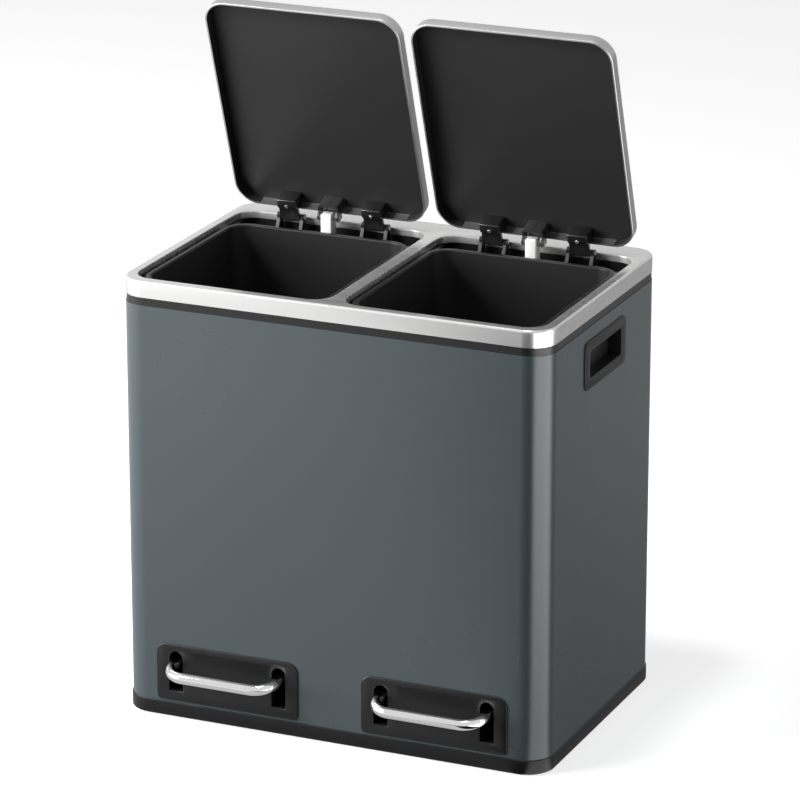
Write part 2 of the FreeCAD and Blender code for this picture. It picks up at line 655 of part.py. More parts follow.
# ------------------------------------------------------------- push rod pieces
def make_rod_head(cx):
    """Nylon head with a slot across it, long enough for the pin's arc."""
    x0 = cx - HEAD_W / 2
    head = box(x0, x0 + HEAD_W, ROD_Y - HEAD_D / 2, ROD_Y + HEAD_D / 2, HEAD_LOW_Z, HEAD_TOP_Z)
    # the lid's rear edge passes close behind the cut edges as the lid comes down
    head = head.makeChamfer(HEAD_EDGE, level_edges(head, HEAD_TOP_Z))
    r = LEVER_PIN_D / 2 + SLOT_PLAY
    half = PIN_DRIFT / 2
    slot = box(x0 - 1, x0 + HEAD_W + 1, ROD_Y - half, ROD_Y + half, SLOT_Z - r, SLOT_Z + r)
    for s in (-1, 1):
        slot = slot.fuse(x_round(r, x0 - 1, x0 + HEAD_W + 1, ROD_Y + s * half, SLOT_Z, bore=True))
    bore = z_round(ROD_D / 2, cx, ROD_Y, HEAD_LOW_Z - 1, HEAD_LOW_Z + ROD_IN_HEAD)
    return head.cut(slot).cut(bore)


def make_push_rod(cx):
    """Steel rod from the pedal lever up into the nylon head."""
    return z_round(ROD_D / 2, cx, ROD_Y, ROD_LOW_Z, HEAD_LOW_Z + ROD_IN_HEAD)


def make_rod_bush(cx):
    """Flanged bush in the shelf that the nylon head slides in."""
    w = BUSH_HALF_W
    d = BUSH_HALF_D
    low = SHELF_Z - SHELF_T - BUSH_SLEEVE
    high = SHELF_Z + BUSH_FLANGE_T
    sleeve = box(cx - w, cx + w, ROD_Y - d, ROD_Y + d, low, high)
    flange = box(cx - w - BUSH_LIP, cx + w + BUSH_LIP, ROD_Y - d - BUSH_LIP,
                 ROD_Y + d + BUSH_LIP, SHELF_Z, high)
    way = box(cx - HEAD_W / 2 - SLIDE_FIT, cx + HEAD_W / 2 + SLIDE_FIT,
              ROD_Y - HEAD_D / 2 - SLIDE_FIT, ROD_Y + HEAD_D / 2 + SLIDE_FIT,
              low - 1, high + 1)
    return sleeve.fuse(flange).cut(way)


def make_rod_guide(cx):
    """Bent bracket on the base that keeps the lower end of the rod upright."""
    x0 = cx - GUIDE_W / 2
    x1 = cx + GUIDE_W / 2
    back = ROD_Y + GUIDE_BACK
    top = FLOOR_Z + GUIDE_H
    upright = box(x0, x1, back, back + GUIDE_T, FLOOR_Z, top)
    arm = box(x0, x1, ROD_Y - GUIDE_W / 2, back + GUIDE_T, top - GUIDE_T, top)
    foot = box(x0, x1, back, back + GUIDE_W, FLOOR_Z, FLOOR_Z + GUIDE_T)
    bore = z_round(ROD_D / 2 + SLIDE_FIT, cx, ROD_Y, FLOOR_Z, top + 1, bore=True)
    return upright.fuse(arm).fuse(foot).cut(bore)


# ----------------------------------------------------------------- pedal pieces
def slot_block(x, y0, y1):
    """Upright slot, round at the top and square at the bottom."""
    r = SLOT_W / 2
    high = SLOT_Z1 - r
    outline = [
        Part.LineSegment(V(x - r, y0, SLOT_Z0), V(x + r, y0, SLOT_Z0)),
        Part.LineSegment(V(x + r, y0, SLOT_Z0), V(x + r, y0, high)),
        Part.Arc(V(x + r, y0, high), V(x, y0, high + r), V(x - r, y0, high)),
        Part.LineSegment(V(x - r, y0, high), V(x - r, y0, SLOT_Z0)),
    ]
    face = Part.Face(Part.Wire([e.toShape() for e in outline]))
    return face.extrude(V(0, y1 - y0, 0))


def plate_outline(cx, y):
    """Plate outline with larger corners at the top than at the bottom."""
    x0 = cx - PLATE_W / 2
    x1 = cx + PLATE_W / 2
    z0 = PLATE_Z
    z1 = PLATE_Z + PLATE_H
    a = PLATE_LOW_R
    b = PLATE_TOP_R
    ka = a * (1 - math.sqrt(0.5))
    kb = b * (1 - math.sqrt(0.5))
    edges = [
        Part.LineSegment(V(x0 + a, y, z0), V(x1 - a, y, z0)),
        Part.Arc(V(x1 - a, y, z0), V(x1 - ka, y, z0 + ka), V(x1, y, z0 + a)),
        Part.LineSegment(V(x1, y, z0 + a), V(x1, y, z1 - b)),
        Part.Arc(V(x1, y, z1 - b), V(x1 - kb, y, z1 - kb), V(x1 - b, y, z1)),
        Part.LineSegment(V(x1 - b, y, z1), V(x0 + b, y, z1)),
        Part.Arc(V(x0 + b, y, z1), V(x0 + kb, y, z1 - kb), V(x0, y, z1 - b)),
        Part.LineSegment(V(x0, y, z1 - b), V(x0, y, z0 + a)),
        Part.Arc(V(x0, y, z0 + a), V(x0 + ka, y, z0 + ka), V(x0 + a, y, z0)),
    ]
    return Part.Wire([e.toShape() for e in edges])


def make_pedal_plate(cx):
    """Plate on the front of the sleeve, with a boss through the window and two slots."""
    face_y = -HALF_D - PLATE_T
    end_y = -HALF_D + PLATE_BOSS_DEPTH
    plate = Part.Face(plate_outline(cx, -HALF_D)).extrude(V(0, -PLATE_T, 0))
    i = PLATE_BOSS_INSET
    boss = box(cx - PLATE_W / 2 + i, cx + PLATE_W / 2 - i, -HALF_D, end_y,
               PLATE_Z + i, PLATE_Z + PLATE_H - i)
    i = i + PLATE_WALL
    hollow = box(cx - PLATE_W / 2 + i, cx + PLATE_W / 2 - i, -HALF_D + PLATE_WALL / 2,
                 end_y + 1, PLATE_Z + i, PLATE_Z + PLATE_H - i)
    plate = plate.fuse(boss.cut(hollow))
    half = SLOT_W / 2 + PLATE_WALL
    for s in (-1, 1):
        x = cx + s * ARM_SPREAD
        plate = plate.fuse(box(x - half, x + half, -HALF_D, end_y, SLOT_Z0 - PLATE_WALL,
                               PLATE_Z + PLATE_H - i))
    for s in (-1, 1):
        plate = plate.cut(slot_block(cx + s * ARM_SPREAD, face_y - 1, end_y + 1))
    return plate


def tilted(shape):
    """Turned about the pivot to the slope that the pedal has with its lid open."""
    turned = shape.copy()
    turned.rotate(V(0, PIVOT_Y, PIVOT_Z), V(1, 0, 0), PEDAL_TILT)
    return turned


def make_pedal_bar(cx):
    """Bent round bar: two arms and a cross bar joined by wide bends."""
    reach = (ARM_SPAN + BAR_REACH) / math.cos(math.radians(PEDAL_TILT))
    a = ARM_SPREAD
    r = BAR_BEND_R
    back = PIVOT_Y + BAR_TAIL
    front = PIVOT_Y - reach
    ring = [V(cx - a + u, back, PIVOT_Z + w) for u, w in round_points(BAR_D / 2, BAR_SIDES, False)]
    section = Part.Face(Part.makePolygon(ring + ring[:1]))
    arm = section.extrude(V(0, front + r - back, 0))
    section.translate(V(0, front + r - back, 0))
    centre = V(cx - a + r, front + r, PIVOT_Z)
    bend = section.revolve(centre, V(0, 0, 1), 90)
    section.rotate(centre, V(0, 0, 1), 90)
    half = arm.fuse(bend).fuse(section.extrude(V(a - r, 0, 0)))
    bar = half.fuse(half.mirror(V(cx, 0, 0), V(1, 0, 0))).removeSplitter()
    bore = x_round(PIVOT_PIN_D / 2 + PIN_FIT, cx - a - BAR_D, cx + a + BAR_D,
                   PIVOT_Y, PIVOT_Z, bore=True)
    return tilted(bar.cut(bore))


def make_pedal_lever(cx):
    """Pressed lever: a wide channel between the arms that tapers to a tail under the rod."""
    wide = LEVER_HALF
    tail = LEVER_TAIL_W / 2
    y0 = PIVOT_Y - EAR_FOOT / 2 - KNUCKLE_R
    y1 = PIVOT_Y + EAR_FOOT
    y2 = ROD_Y - LEVER_TAIL_W
    y3 = ROD_Y + LEVER_END
    low = PIVOT_Z - LEVER_DEEP

    def plan(inset, z0, z1):
        pts = [(-wide + inset, y0 + inset), (wide - inset, y0 + inset), (wide - inset, y1),
               (tail - inset, y2), (tail - inset, y3 - inset), (-tail + inset, y3 - inset),
               (-tail + inset, y2), (-wide + inset, y1)]
        ring = [V(cx + px, py, z0) for px, py in pts]
        return Part.Face(Part.makePolygon(ring + ring[:1])).extrude(V(0, 0, z1 - z0))

    channel = plan(0, low, WEB_TOP).cut(plan(LEVER_SHEET, low - 1, WEB_TOP - LEVER_SHEET))
    # seen from the side the walls are deep at the pivot and shallow at the tail
    shallow = WEB_TOP - LEVER_TAIL_DEPTH
    side = x_prism([(y0 - 1, low), (y1, low), (y1 + 3 * LEVER_DEEP, shallow), (y3 + 1, shallow),
                    (y3 + 1, WEB_TOP), (y0 - 1, WEB_TOP)], cx - wide - 1, cx + wide + 1)
    bore = x_round(PIVOT_PIN_D / 2 + PIN_FIT, cx - wide - 1, cx + wide + 1,
                   PIVOT_Y, PIVOT_Z, bore=True)
    return channel.common(side).cut(bore)


def make_pedal_bracket(cx):
    """U bracket on the base floor whose two ears carry the pivot pin."""
    out = EAR_X + EAR_T
    bracket = box(cx - out, cx + out, PIVOT_Y - EAR_FOOT, PIVOT_Y + EAR_FOOT,
                  FLOOR_Z, FLOOR_Z + EAR_T)
    outline = ear_outline(PIVOT_Y, PIVOT_Z, EAR_R, EAR_FOOT, EAR_FOOT, FLOOR_Z)
    for s in (-1, 1):
        a = cx + s * EAR_X
        b = cx + s * out
        bracket = bracket.fuse(x_prism(outline, min(a, b), max(a, b)))
    bore = x_round(PIVOT_PIN_D / 2, cx - out - 1, cx + out + 1, PIVOT_Y, PIVOT_Z)
    return bracket.cut(bore)


def make_pivot_pin(cx):
    """Pin held in both ears; the arms and the lever turn on it."""
    out = EAR_X + EAR_T + 1
    return x_round(PIVOT_PIN_D / 2, cx - out, cx + out, PIVOT_Y, PIVOT_Z)


def make_bracket_screws():
    """Screws of the pivot brackets and of the rod guides, on the base floor."""
    heads = []
    for _, side in SIDES:
        cx = side * BIN_X
        for s in (-1, 1):
            heads.append(screw(cx + s * EAR_X * 0.8, PIVOT_Y, FLOOR_Z + EAR_T, 1))
        heads.append(screw(cx, ROD_Y + GUIDE_BACK + GUIDE_W * 0.6, FLOOR_Z + GUIDE_T, 1))
    return Part.makeCompound(heads)


# ----------------------------------------------------------------------- export
def build():
    """Every piece by its name, in the layout about the middle of the body."""
    parts = {
        "body_shell": make_body_shell(),
        "base_moulding": make_base_moulding(),
        "collar_frame": make_collar_frame(),
        "trim_ring": make_trim_ring(),
        "seat_screws": make_seat_screws(),
        "bracket_screws": make_bracket_screws(),
    }
    for name, (x, y) in foot_places().items():
        parts[name] = make_foot(x, y)
    for name, side in SIDES:
        cx = side * BIN_X
        parts["bucket_" + name] = make_bucket(cx)
        parts["lid_pan_" + name] = make_lid_pan(cx)
        parts["lid_liner_" + name] = make_lid_liner(cx)
        for place, s in (("outer", side), ("inner", -side)):
            x = cx + s * HINGE_SPREAD
            parts["hinge_leaf_" + name + "_" + place] = make_hinge_leaf(x)
            parts["hinge_seat_" + name + "_" + place] = make_hinge_seat(x)
            parts["hinge_pin_" + name + "_" + place] = make_hinge_pin(x)
        parts["hinge_screws_" + name] = make_hinge_screws(cx)
        parts["lever_bracket_" + name] = make_lever_bracket(cx)
        parts["lever_pin_" + name] = make_lever_pin(cx)
        parts["rod_head_" + name] = make_rod_head(cx)
        parts["push_rod_" + name] = make_push_rod(cx)
        parts["rod_bush_" + name] = make_rod_bush(cx)
        parts["rod_guide_" + name] = make_rod_guide(cx)
        parts["pedal_plate_" + name] = make_pedal_plate(cx)
        parts["pedal_bar_" + name] = make_pedal_bar(cx)
        parts["pedal_lever_" + name] = make_pedal_lever(cx)
        parts["pedal_bracket_" + name] = make_pedal_bracket(cx)
        parts["pivot_pin_" + name] = make_pivot_pin(cx)
        parts["side_handle_" + name] = make_side_handle(side)
    return parts


def main():
    os.makedirs(PARTS_DIR, exist_ok=True)
    parts = build()
    for name in sorted(parts):
        shape = parts[name].copy()
        shape.translate(V(0, -ORIGIN_Y, 0))
        shape.exportStep(os.path.join(PARTS_DIR, name + ".step"))
    pedal_turn = math.degrees(math.asin(ROD_STROKE / (ROD_Y - PIVOT_Y)))
    print("parts", len(parts))
    print("hinge axis y %.3f z %.3f" % (HINGE_Y - ORIGIN_Y, HINGE_Z))
    print("pivot y %.3f z %.3f turn %.3f deg" % (PIVOT_Y - ORIGIN_Y, PIVOT_Z, pedal_turn))
    print("rod y %.3f stroke %.3f" % (ROD_Y - ORIGIN_Y, ROD_STROKE))


main()
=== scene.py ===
"""Looks of a two-compartment pedal bin: finishes, finer visible pieces, studio and camera.

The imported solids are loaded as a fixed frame. Pieces whose look depends on smooth bends, soft
edges or fine joints are modelled again here at the same size and place, and stand for their
solid; every other solid is kept and dressed.
"""

import json
import logging
import math
from dataclasses import dataclass, field
from enum import Enum
from typing import Callable, Sequence

import bmesh
import bpy
from mathutils import Matrix, Vector


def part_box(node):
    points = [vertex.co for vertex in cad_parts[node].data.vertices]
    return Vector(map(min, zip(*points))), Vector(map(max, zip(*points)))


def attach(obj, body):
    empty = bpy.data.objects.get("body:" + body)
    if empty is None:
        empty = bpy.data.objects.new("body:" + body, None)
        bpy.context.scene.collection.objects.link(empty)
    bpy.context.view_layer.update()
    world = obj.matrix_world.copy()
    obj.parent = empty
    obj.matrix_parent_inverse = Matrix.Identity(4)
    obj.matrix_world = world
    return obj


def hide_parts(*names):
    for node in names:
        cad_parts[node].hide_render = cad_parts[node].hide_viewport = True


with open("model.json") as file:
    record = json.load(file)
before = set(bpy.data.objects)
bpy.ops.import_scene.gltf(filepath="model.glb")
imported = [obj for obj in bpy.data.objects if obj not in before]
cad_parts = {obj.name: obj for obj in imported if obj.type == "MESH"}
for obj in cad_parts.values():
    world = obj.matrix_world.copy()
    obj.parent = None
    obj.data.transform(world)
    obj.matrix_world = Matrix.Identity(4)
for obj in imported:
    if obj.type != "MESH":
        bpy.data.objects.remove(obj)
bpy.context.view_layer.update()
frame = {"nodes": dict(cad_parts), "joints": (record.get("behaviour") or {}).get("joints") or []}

LOG = logging.getLogger("pedal_bin")
# Lengths are in metres; SHARP and SMOOTH are angles between faces in radians, and LEVEL is the
# least upright share of a level face's normal.
MM = 0.001
NEAR = 0.1 * MM
TINY = 1e-6
SHARP = 0.5
LEVEL = 0.9
SMOOTH = math.radians(35.0)
WHITE = (1.0, 1.0, 1.0, 1.0)


class Side(Enum):
    """The two compartments, as seen from the pedals."""

    LEFT = "left"
    RIGHT = "right"

    @property
    def sign(self) -> int:
        """Minus one on the left, one on the right."""
        return -1 if self is Side.LEFT else 1


class Grain(Enum):
    """Direction in which a sheet was brushed or a mould was polished."""

    ALONG_X = (0.015, 1.0, 1.0)
    NONE = (1.0, 1.0, 1.0)


def joint(name: str) -> dict[str, object]:
    """One joint of the frame, by its name."""
    return next(entry for entry in frame["joints"] if entry["name"] == name)


# ------------------------------ finishes
class Graph:
    """Makes and joins the shader nodes of one material or world."""

    def __init__(self, owner: bpy.types.ID) -> None:
        """Empties the owner's node tree and keeps it.

        Args:
            owner: A material or a world.
        """
        owner.use_nodes = True
        self.tree = owner.node_tree
        self.tree.nodes.clear()

    def add(
        self, kind: str, values: dict[str | int, object] | None = None
    ) -> bpy.types.Node:
        """Adds a node.

        Args:
            kind: Its type, without the leading word that all types share.
            values: What its input sockets are set to, by name or number.

        Returns:
            The node.
        """
        node = self.tree.nodes.new("ShaderNode" + kind)
        for name, value in (values or {}).items():
            node.inputs[name].default_value = value
        return node

    def link(
        self, source: bpy.types.Node, target: bpy.types.Node, socket: str | int,
        output: str | int = 0,
    ) -> None:
        """Joins one node's output to another node's input.

        Args:
            source: The node that gives.
            target: The node that takes.
            socket: Input of the target.
            output: Output of the source.
        """
        self.tree.links.new(source.outputs[output], target.inputs[socket])

    def choose(
        self, ray: str, others: bpy.types.Node, these: bpy.types.Node
    ) -> bpy.types.Node:
        """Shades one kind of ray apart from the others.

        Args:
            ray: Name of the light path output.
            others: Shader for the other rays.
            these: Shader for this kind of ray.

        Returns:
            The node that holds both.
        """
        mix = self.add("MixShader")
        self.link(self.add("LightPath"), mix, "Fac", ray)
        self.link(others, mix, 1)
        self.link(these, mix, 2)
        return mix

    def by_ray(
        self, output: str, bounced: bpy.types.Node, mirrored: bpy.types.Node,
        seen: bpy.types.Node,
    ) -> None:
        """Finishes a stage shader that treats three kinds of rays in their own way.

        Args:
            output: Type of the output node.
            bounced: Shader for light that only bounces.
            mirrored: Shader for what glossy surfaces mirror.
            seen: Shader for what the camera sees.
        """
        unseen = self.choose("Is Glossy Ray", bounced, mirrored)
        self.link(self.choose("Is Camera Ray", unseen, seen), self.add(output), "Surface")


@dataclass(frozen=True)
class Finish:
    """A surface finish: plain shader values, a fine grain and a slow drift of tone."""

    name: str
    colour: tuple[float, float, float]
    roughness: float
    metallic: float = 0.0
    specular: float = 0.5
    grain: Grain = Grain.NONE
    grain_scale: float = 900.0
    grain_height: float = 0.0
    tone: float = 0.0
    tone_scale: float = 6.0
    rough_drift: float = 0.0
    soft: float = 0.0

    SOFT_REACH = (4 * MM, 4 * MM, 3 * MM)
    DRIFT_SPAN = (0.3, 0.7)
    DRIFT_DETAIL = 5.0
    GRAIN_DETAIL = 3.0
    GRAIN_STRENGTH = 0.5
    SMOOTHEST = 0.02

    def make(self) -> bpy.types.Material:
        """Builds the material.

        Returns:
            The finished node material.
        """
        mat = bpy.data.materials.new(self.name)
        graph = Graph(mat)
        skin = graph.add("BsdfPrincipled", {
            "Base Color": (*self.colour, 1.0), "Roughness": self.roughness,
            "Metallic": self.metallic, "Specular IOR Level": self.specular})
        if self.soft:
            skin.inputs["Subsurface Weight"].default_value = self.soft
            skin.inputs["Subsurface Radius"].default_value = self.SOFT_REACH
        graph.link(skin, graph.add("OutputMaterial"), "Surface")
        if self.tone or self.rough_drift:
            self._drift(graph, skin)
        if self.grain_height:
            self._grain(graph, skin)
        return mat

    def _noise(self, graph: Graph, scale: float, detail: float) -> bpy.types.Node:
        """Adds a noise on object coordinates, drawn out along the grain.

        Args:
            graph: The material's nodes.
            scale: Features to the metre.
            detail: Octaves of the noise.

        Returns:
            The noise node.
        """
        place = graph.add("Mapping", {"Scale": self.grain.value})
        noise = graph.add("TexNoise", {"Scale": scale, "Detail": detail})
        graph.link(graph.add("TexCoord"), place, "Vector", "Object")
        graph.link(place, noise, "Vector")
        return noise

    def _drift(self, graph: Graph, skin: bpy.types.Node) -> None:
        """Lets tone and roughness drift slowly over the surface.

        Args:
            graph: The material's nodes.
            skin: The shader that is driven.
        """
        low, high = self.DRIFT_SPAN
        noise = self._noise(graph, self.tone_scale, self.DRIFT_DETAIL)
        if self.tone:
            ramp = graph.add("ValToRGB")
            stops = ramp.color_ramp.elements
            for stop, place, share in ((stops[0], low, 1.0 - self.tone),
                                       (stops[1], high, 1.0 + self.tone)):
                stop.position = place
                stop.color = (*(min(1.0, c * share) for c in self.colour), 1.0)
            graph.link(noise, ramp, "Fac")
            graph.link(ramp, skin, "Base Color")
        if self.rough_drift:
            span = graph.add("MapRange", {
                "From Min": low, "From Max": high,
                "To Min": max(self.SMOOTHEST, self.roughness - self.rough_drift),
                "To Max": self.roughness + self.rough_drift})
            graph.link(noise, span, "Value")
            graph.link(span, skin, "Roughness")

    def _grain(self, graph: Graph, skin: bpy.types.Node) -> None:
        """Adds the fine grain as a bump.

        Args:
            graph: The material's nodes.
            skin: The shader that is driven.
        """
        bump = graph.add("Bump", {
            "Strength": self.GRAIN_STRENGTH, "Distance": self.grain_height})
        graph.link(self._noise(graph, self.grain_scale, self.GRAIN_DETAIL), bump, "Height")
        graph.link(bump, skin, "Normal")


@dataclass(frozen=True)
class Palette:
    """Every finish on the bin, by what it is on."""

    sleeve: Finish = Finish(
        "slate_paint", (0.049, 0.065, 0.073), 0.27, tone=0.02, tone_scale=4.0,
        rough_drift=0.01)
    skirting: Finish = Finish(
        "skirting_plastic", (0.006, 0.006, 0.0065), 0.32, specular=0.25, tone=0.08,
        grain_scale=2500.0, grain_height=0.00003)
    collar: Finish = Finish(
        "collar_plastic", (0.006, 0.006, 0.0065), 0.35, specular=0.35, tone=0.08,
        grain_scale=2500.0, grain_height=0.00002)
    ring: Finish = Finish(
        "ring_steel", (0.57, 0.57, 0.566), 0.27, metallic=0.7, grain=Grain.ALONG_X,
        grain_height=0.000004, rough_drift=0.05, tone_scale=60.0)
    pan: Finish = Finish(
        "pan_steel", (0.37, 0.37, 0.37), 0.34, metallic=0.8, grain=Grain.ALONG_X,
        grain_height=0.00001, rough_drift=0.05, tone_scale=60.0)
    lining: Finish = Finish(
        "lining_plastic", (0.023, 0.023, 0.024), 0.42, specular=0.2, tone=0.06,
        grain_scale=2200.0, grain_height=0.00004)
    bucket: Finish = Finish(
        "bucket_plastic", (0.015, 0.015, 0.016), 0.4, specular=0.3, tone=0.06,
        grain_scale=2200.0, grain_height=0.00003)
    hinge: Finish = Finish(
        "hinge_plastic", (0.010, 0.010, 0.0105), 0.28, specular=0.8, tone=0.05,
        grain_scale=3000.0, grain_height=0.00002)
    bracket: Finish = Finish(
        "bracket_sheet", (0.03, 0.03, 0.031), 0.3, specular=0.8, tone=0.06,
        grain_scale=3000.0, grain_height=0.00002)
    nylon: Finish = Finish(
        "white_nylon", (0.90, 0.90, 0.885), 0.35, soft=0.2, tone=0.02,
        grain_scale=1500.0, grain_height=0.00002)
    grip: Finish = Finish(
        "grip_plastic", (0.008, 0.008, 0.0085), 0.4, specular=0.2, tone=0.06,
        grain_scale=2500.0, grain_height=0.00003)
    plate: Finish = Finish(
        "pedal_plate_plastic", (0.008, 0.008, 0.0085), 0.3, specular=0.3, tone=0.06,
        grain_scale=2500.0, grain_height=0.00003)
    chrome: Finish = Finish(
        "pedal_chrome", (0.70, 0.70, 0.70), 0.06, metallic=1.0, rough_drift=0.02, tone_scale=40.0)
    zinc: Finish = Finish(
        "zinc_sheet", (0.52, 0.52, 0.50), 0.38, metallic=1.0, tone=0.1, tone_scale=70.0,
        rough_drift=0.08)
    screw: Finish = Finish(
        "screw_steel", (0.45, 0.45, 0.45), 0.3, metallic=1.0, rough_drift=0.05, tone_scale=400.0)
    foot: Finish = Finish(
        "foot_rubber", (0.02, 0.02, 0.02), 0.7, specular=0.3, tone=0.1, grain_scale=1800.0,
        grain_height=0.00006)


class Finisher:
    """Puts finishes on objects and makes each material once."""

    def __init__(self, palette: Palette) -> None:
        """Keeps the palette.

        Args:
            palette: The finishes that may be used.
        """
        self.palette = palette
        self._made: dict[str, bpy.types.Material] = {}

    def dress(self, obj: bpy.types.Object, finish: Finish) -> None:
        """Gives an object one finish.

        Args:
            obj: The object to dress.
            finish: The finish it takes.
        """
        if finish.name not in self._made:
            self._made[finish.name] = finish.make()
        if not obj.material_slots:
            obj.data.materials.append(self._made[finish.name])
        for slot in obj.material_slots:
            slot.material = self._made[finish.name]

    def dress_nodes(self, prefixes: tuple[str, ...], finish: Finish) -> None:
        """Gives one finish to the solids of the frame whose names start in these ways.

        Args:
            prefixes: Starts of node names.
            finish: The finish they take.
        """
        names = [name for name in frame["nodes"] if name.startswith(prefixes)]
        for name in names:
            self.dress(frame["nodes"][name], finish)
        LOG.info("%d solids in %s", len(names), finish.name)


# ------------------------------ workbench
@dataclass(frozen=True)
class Outline:
    """A level rounded rectangle."""

    low: tuple[float, float]
    high: tuple[float, float]
    radius: float

    def reach(self, co: Vector) -> float:
        """How far a point lies outside the outline, below zero inside.

        Args:
            co: The point.

        Returns:
            Distance in metres.
        """
        half = [(b - a) / 2 - self.radius for a, b in zip(self.low, self.high)]
        off = [abs(co[i] - (self.low[i] + self.high[i]) / 2) - half[i] for i in range(2)]
        outside = math.hypot(max(off[0], 0.0), max(off[1], 0.0))
        return outside + min(max(off), 0.0) - self.radius

    def on(self, co: Vector) -> bool:
        """Whether a point lies on the outline."""
        return abs(self.reach(co)) < 2 * NEAR

    def inset(self, step: float) -> "Outline":
        """The outline drawn in by a step on every side."""
        return Outline(tuple(c + step for c in self.low), tuple(c - step for c in self.high),
                       self.radius - step)

    def block(self, name: str, low_z: float, high_z: float, steps: int = 16) -> bpy.types.Object:
        """The outline as a block between two heights.

        Args:
            name: Name of the piece.
            low_z: Its lowest height.
            high_z: Its highest height.
            steps: Faces across each corner.

        Returns:
            The block.
        """
        return rounded_block(
            name, (*self.low, low_z), (*self.high, high_z), self.radius, steps)


def at(
    place: float, outlines: Sequence[Outline] = (), axis: int = 2
) -> Callable[..., bool]:
    """Makes a test for vertices and edges that lie at one place along an axis.

    Args:
        place: The place.
        outlines: Outlines that they have to lie on as well, if any are given.
        axis: The axis, upwards where nothing is said.

    Returns:
        The test, which takes a vertex's place or those of an edge's two ends.
    """
    return lambda *ends: all(
        abs(end[axis] - place) < NEAR
        and (not outlines or any(outline.on(end) for outline in outlines)) for end in ends)


def along(
    axis: int, above: float = -math.inf, below: float = math.inf
) -> Callable[[Vector, Vector], bool]:
    """Makes a test for edges that run along an axis.

    Args:
        axis: The axis.
        above: Height that they lie above.
        below: Height that they lie below.

    Returns:
        The test, which takes the places of an edge's two ends.
    """
    others = [i for i in range(3) if i != axis]
    return lambda a, b: above < a.z < below and all(abs(a[i] - b[i]) < TINY for i in others)


def clear() -> None:
    """Leaves edit mode and selects nothing."""
    if bpy.context.object and bpy.context.object.mode != "OBJECT":
        bpy.ops.object.mode_set(mode="OBJECT")
    bpy.ops.object.select_all(action="DESELECT")


def hold(obj: bpy.types.Object) -> None:
    """Makes an object the only one selected, and active.

    Args:
        obj: The object to work on.
    """
    clear()
    obj.select_set(True)
    bpy.context.view_layer.objects.active = obj


def settle(name: str) -> bpy.types.Object:
    """Names the active object and puts its place into its mesh.

    Args:
        name: Name of the piece.

    Returns:
        The active object.
    """
    obj = bpy.context.object
    obj.name = name
    bpy.ops.object.transform_apply(location=True, rotation=True, scale=True)
    return obj


def block(name: str, low: Sequence[float], high: Sequence[float]) -> bpy.types.Object:
    """Adds a block between two corners.

    Args:
        name: Name of the piece.
        low: Its lowest corner.
        high: Its highest corner.

    Returns:
        The block, with its place in its mesh.
    """
    clear()
    middle = [(a + b) / 2 for a, b in zip(low, high)]
    bpy.ops.mesh.primitive_cube_add(size=1.0, location=middle)
    bpy.context.object.scale = [b - a for a, b in zip(low, high)]
    return settle(name)


def disc(
    name: str, centre: Sequence[float], radius: float, depth: float, vertices: int,
    turn: float = math.pi / 2,
) -> bpy.types.Object:
    """Adds a capped cylinder.

    Args:
        name: Name of the piece.
        centre: Its middle.
        radius: Its radius.
        depth: Its length.
        vertices: Sides of the cylinder.
        turn: Its turn about Y, a quarter turn to lie along X.

    Returns:
        The cylinder, with its place in its mesh.
    """
    clear()
    bpy.ops.mesh.primitive_cylinder_add(
        vertices=vertices, radius=radius, depth=depth, location=centre,
        rotation=(0.0, turn, 0.0))
    return settle(name)


def enter(obj: bpy.types.Object, kind: str) -> bmesh.types.BMesh:
    """Enters edit mode with nothing selected.

    Args:
        obj: The object to work on.
        kind: What will be selected, VERT, EDGE or FACE.

    Returns:
        Its mesh.
    """
    hold(obj)
    bpy.ops.object.mode_set(mode="EDIT")
    bpy.ops.mesh.select_mode(type=kind)
    bpy.ops.mesh.select_all(action="DESELECT")
    return bmesh.from_edit_mesh(obj.data)


def pick_edges(obj: bpy.types.Object, test: Callable[[Vector, Vector], bool]) -> None:
    """Enters edit mode with the sharp edges selected whose two ends pass a test.

    Args:
        obj: The object to work on.
        test: Takes the two ends of an edge.
    """
    mesh = enter(obj, "EDGE")
    for edge in mesh.edges:
        sharp = edge.calc_face_angle(0.0) > SHARP
        edge.select_set(sharp and test(edge.verts[0].co, edge.verts[1].co))
    mesh.select_flush(False)
    bmesh.update_edit_mesh(obj.data)


def pick_faces(obj: bpy.types.Object, *ways: int) -> None:
    """Enters edit mode with the level faces selected that look one way or both.

    Args:
        obj: The object to work on.
        ways: One for faces that look up, minus one for those that look down.
    """
    mesh = enter(obj, "FACE")
    for face in mesh.faces:
        face.select_set(any(face.normal.z * way > LEVEL for way in ways))
    bmesh.update_edit_mesh(obj.data)


def pick_verts(obj: bpy.types.Object, test: Callable[[Vector], bool]) -> None:
    """Enters edit mode with the vertices selected that pass a test.

    Args:
        obj: The object to work on.
        test: Takes a vertex's place.
    """
    mesh = enter(obj, "VERT")
    for vert in mesh.verts:
        vert.select_set(test(vert.co))
    mesh.select_flush(False)
    bmesh.update_edit_mesh(obj.data)


def open_faces(obj: bpy.types.Object, *ways: int) -> None:
    """Takes away the level faces that look one way or both.

    Args:
        obj: The object to work on.
        ways: One for faces that look up, minus one for those that look down.
    """
    pick_faces(obj, *ways)
    bpy.ops.mesh.delete(type="FACE")
    done()


def done() -> None:
    """Leaves edit mode."""
    bpy.ops.object.mode_set(mode="OBJECT")


def round_edges(
    obj: bpy.types.Object, width: float, steps: int, test: Callable[[Vector, Vector], bool]
) -> None:
    """Rounds the edges that pass a test.

    Args:
        obj: The object to work on.
        width: Radius of the rounding.
        steps: Faces across the rounding.
        test: Takes the two ends of an edge.
    """
    pick_edges(obj, test)
    bpy.ops.mesh.bevel(offset=width, segments=steps, profile=0.5, affect="EDGES",
                       clamp_overlap=False)
    done()


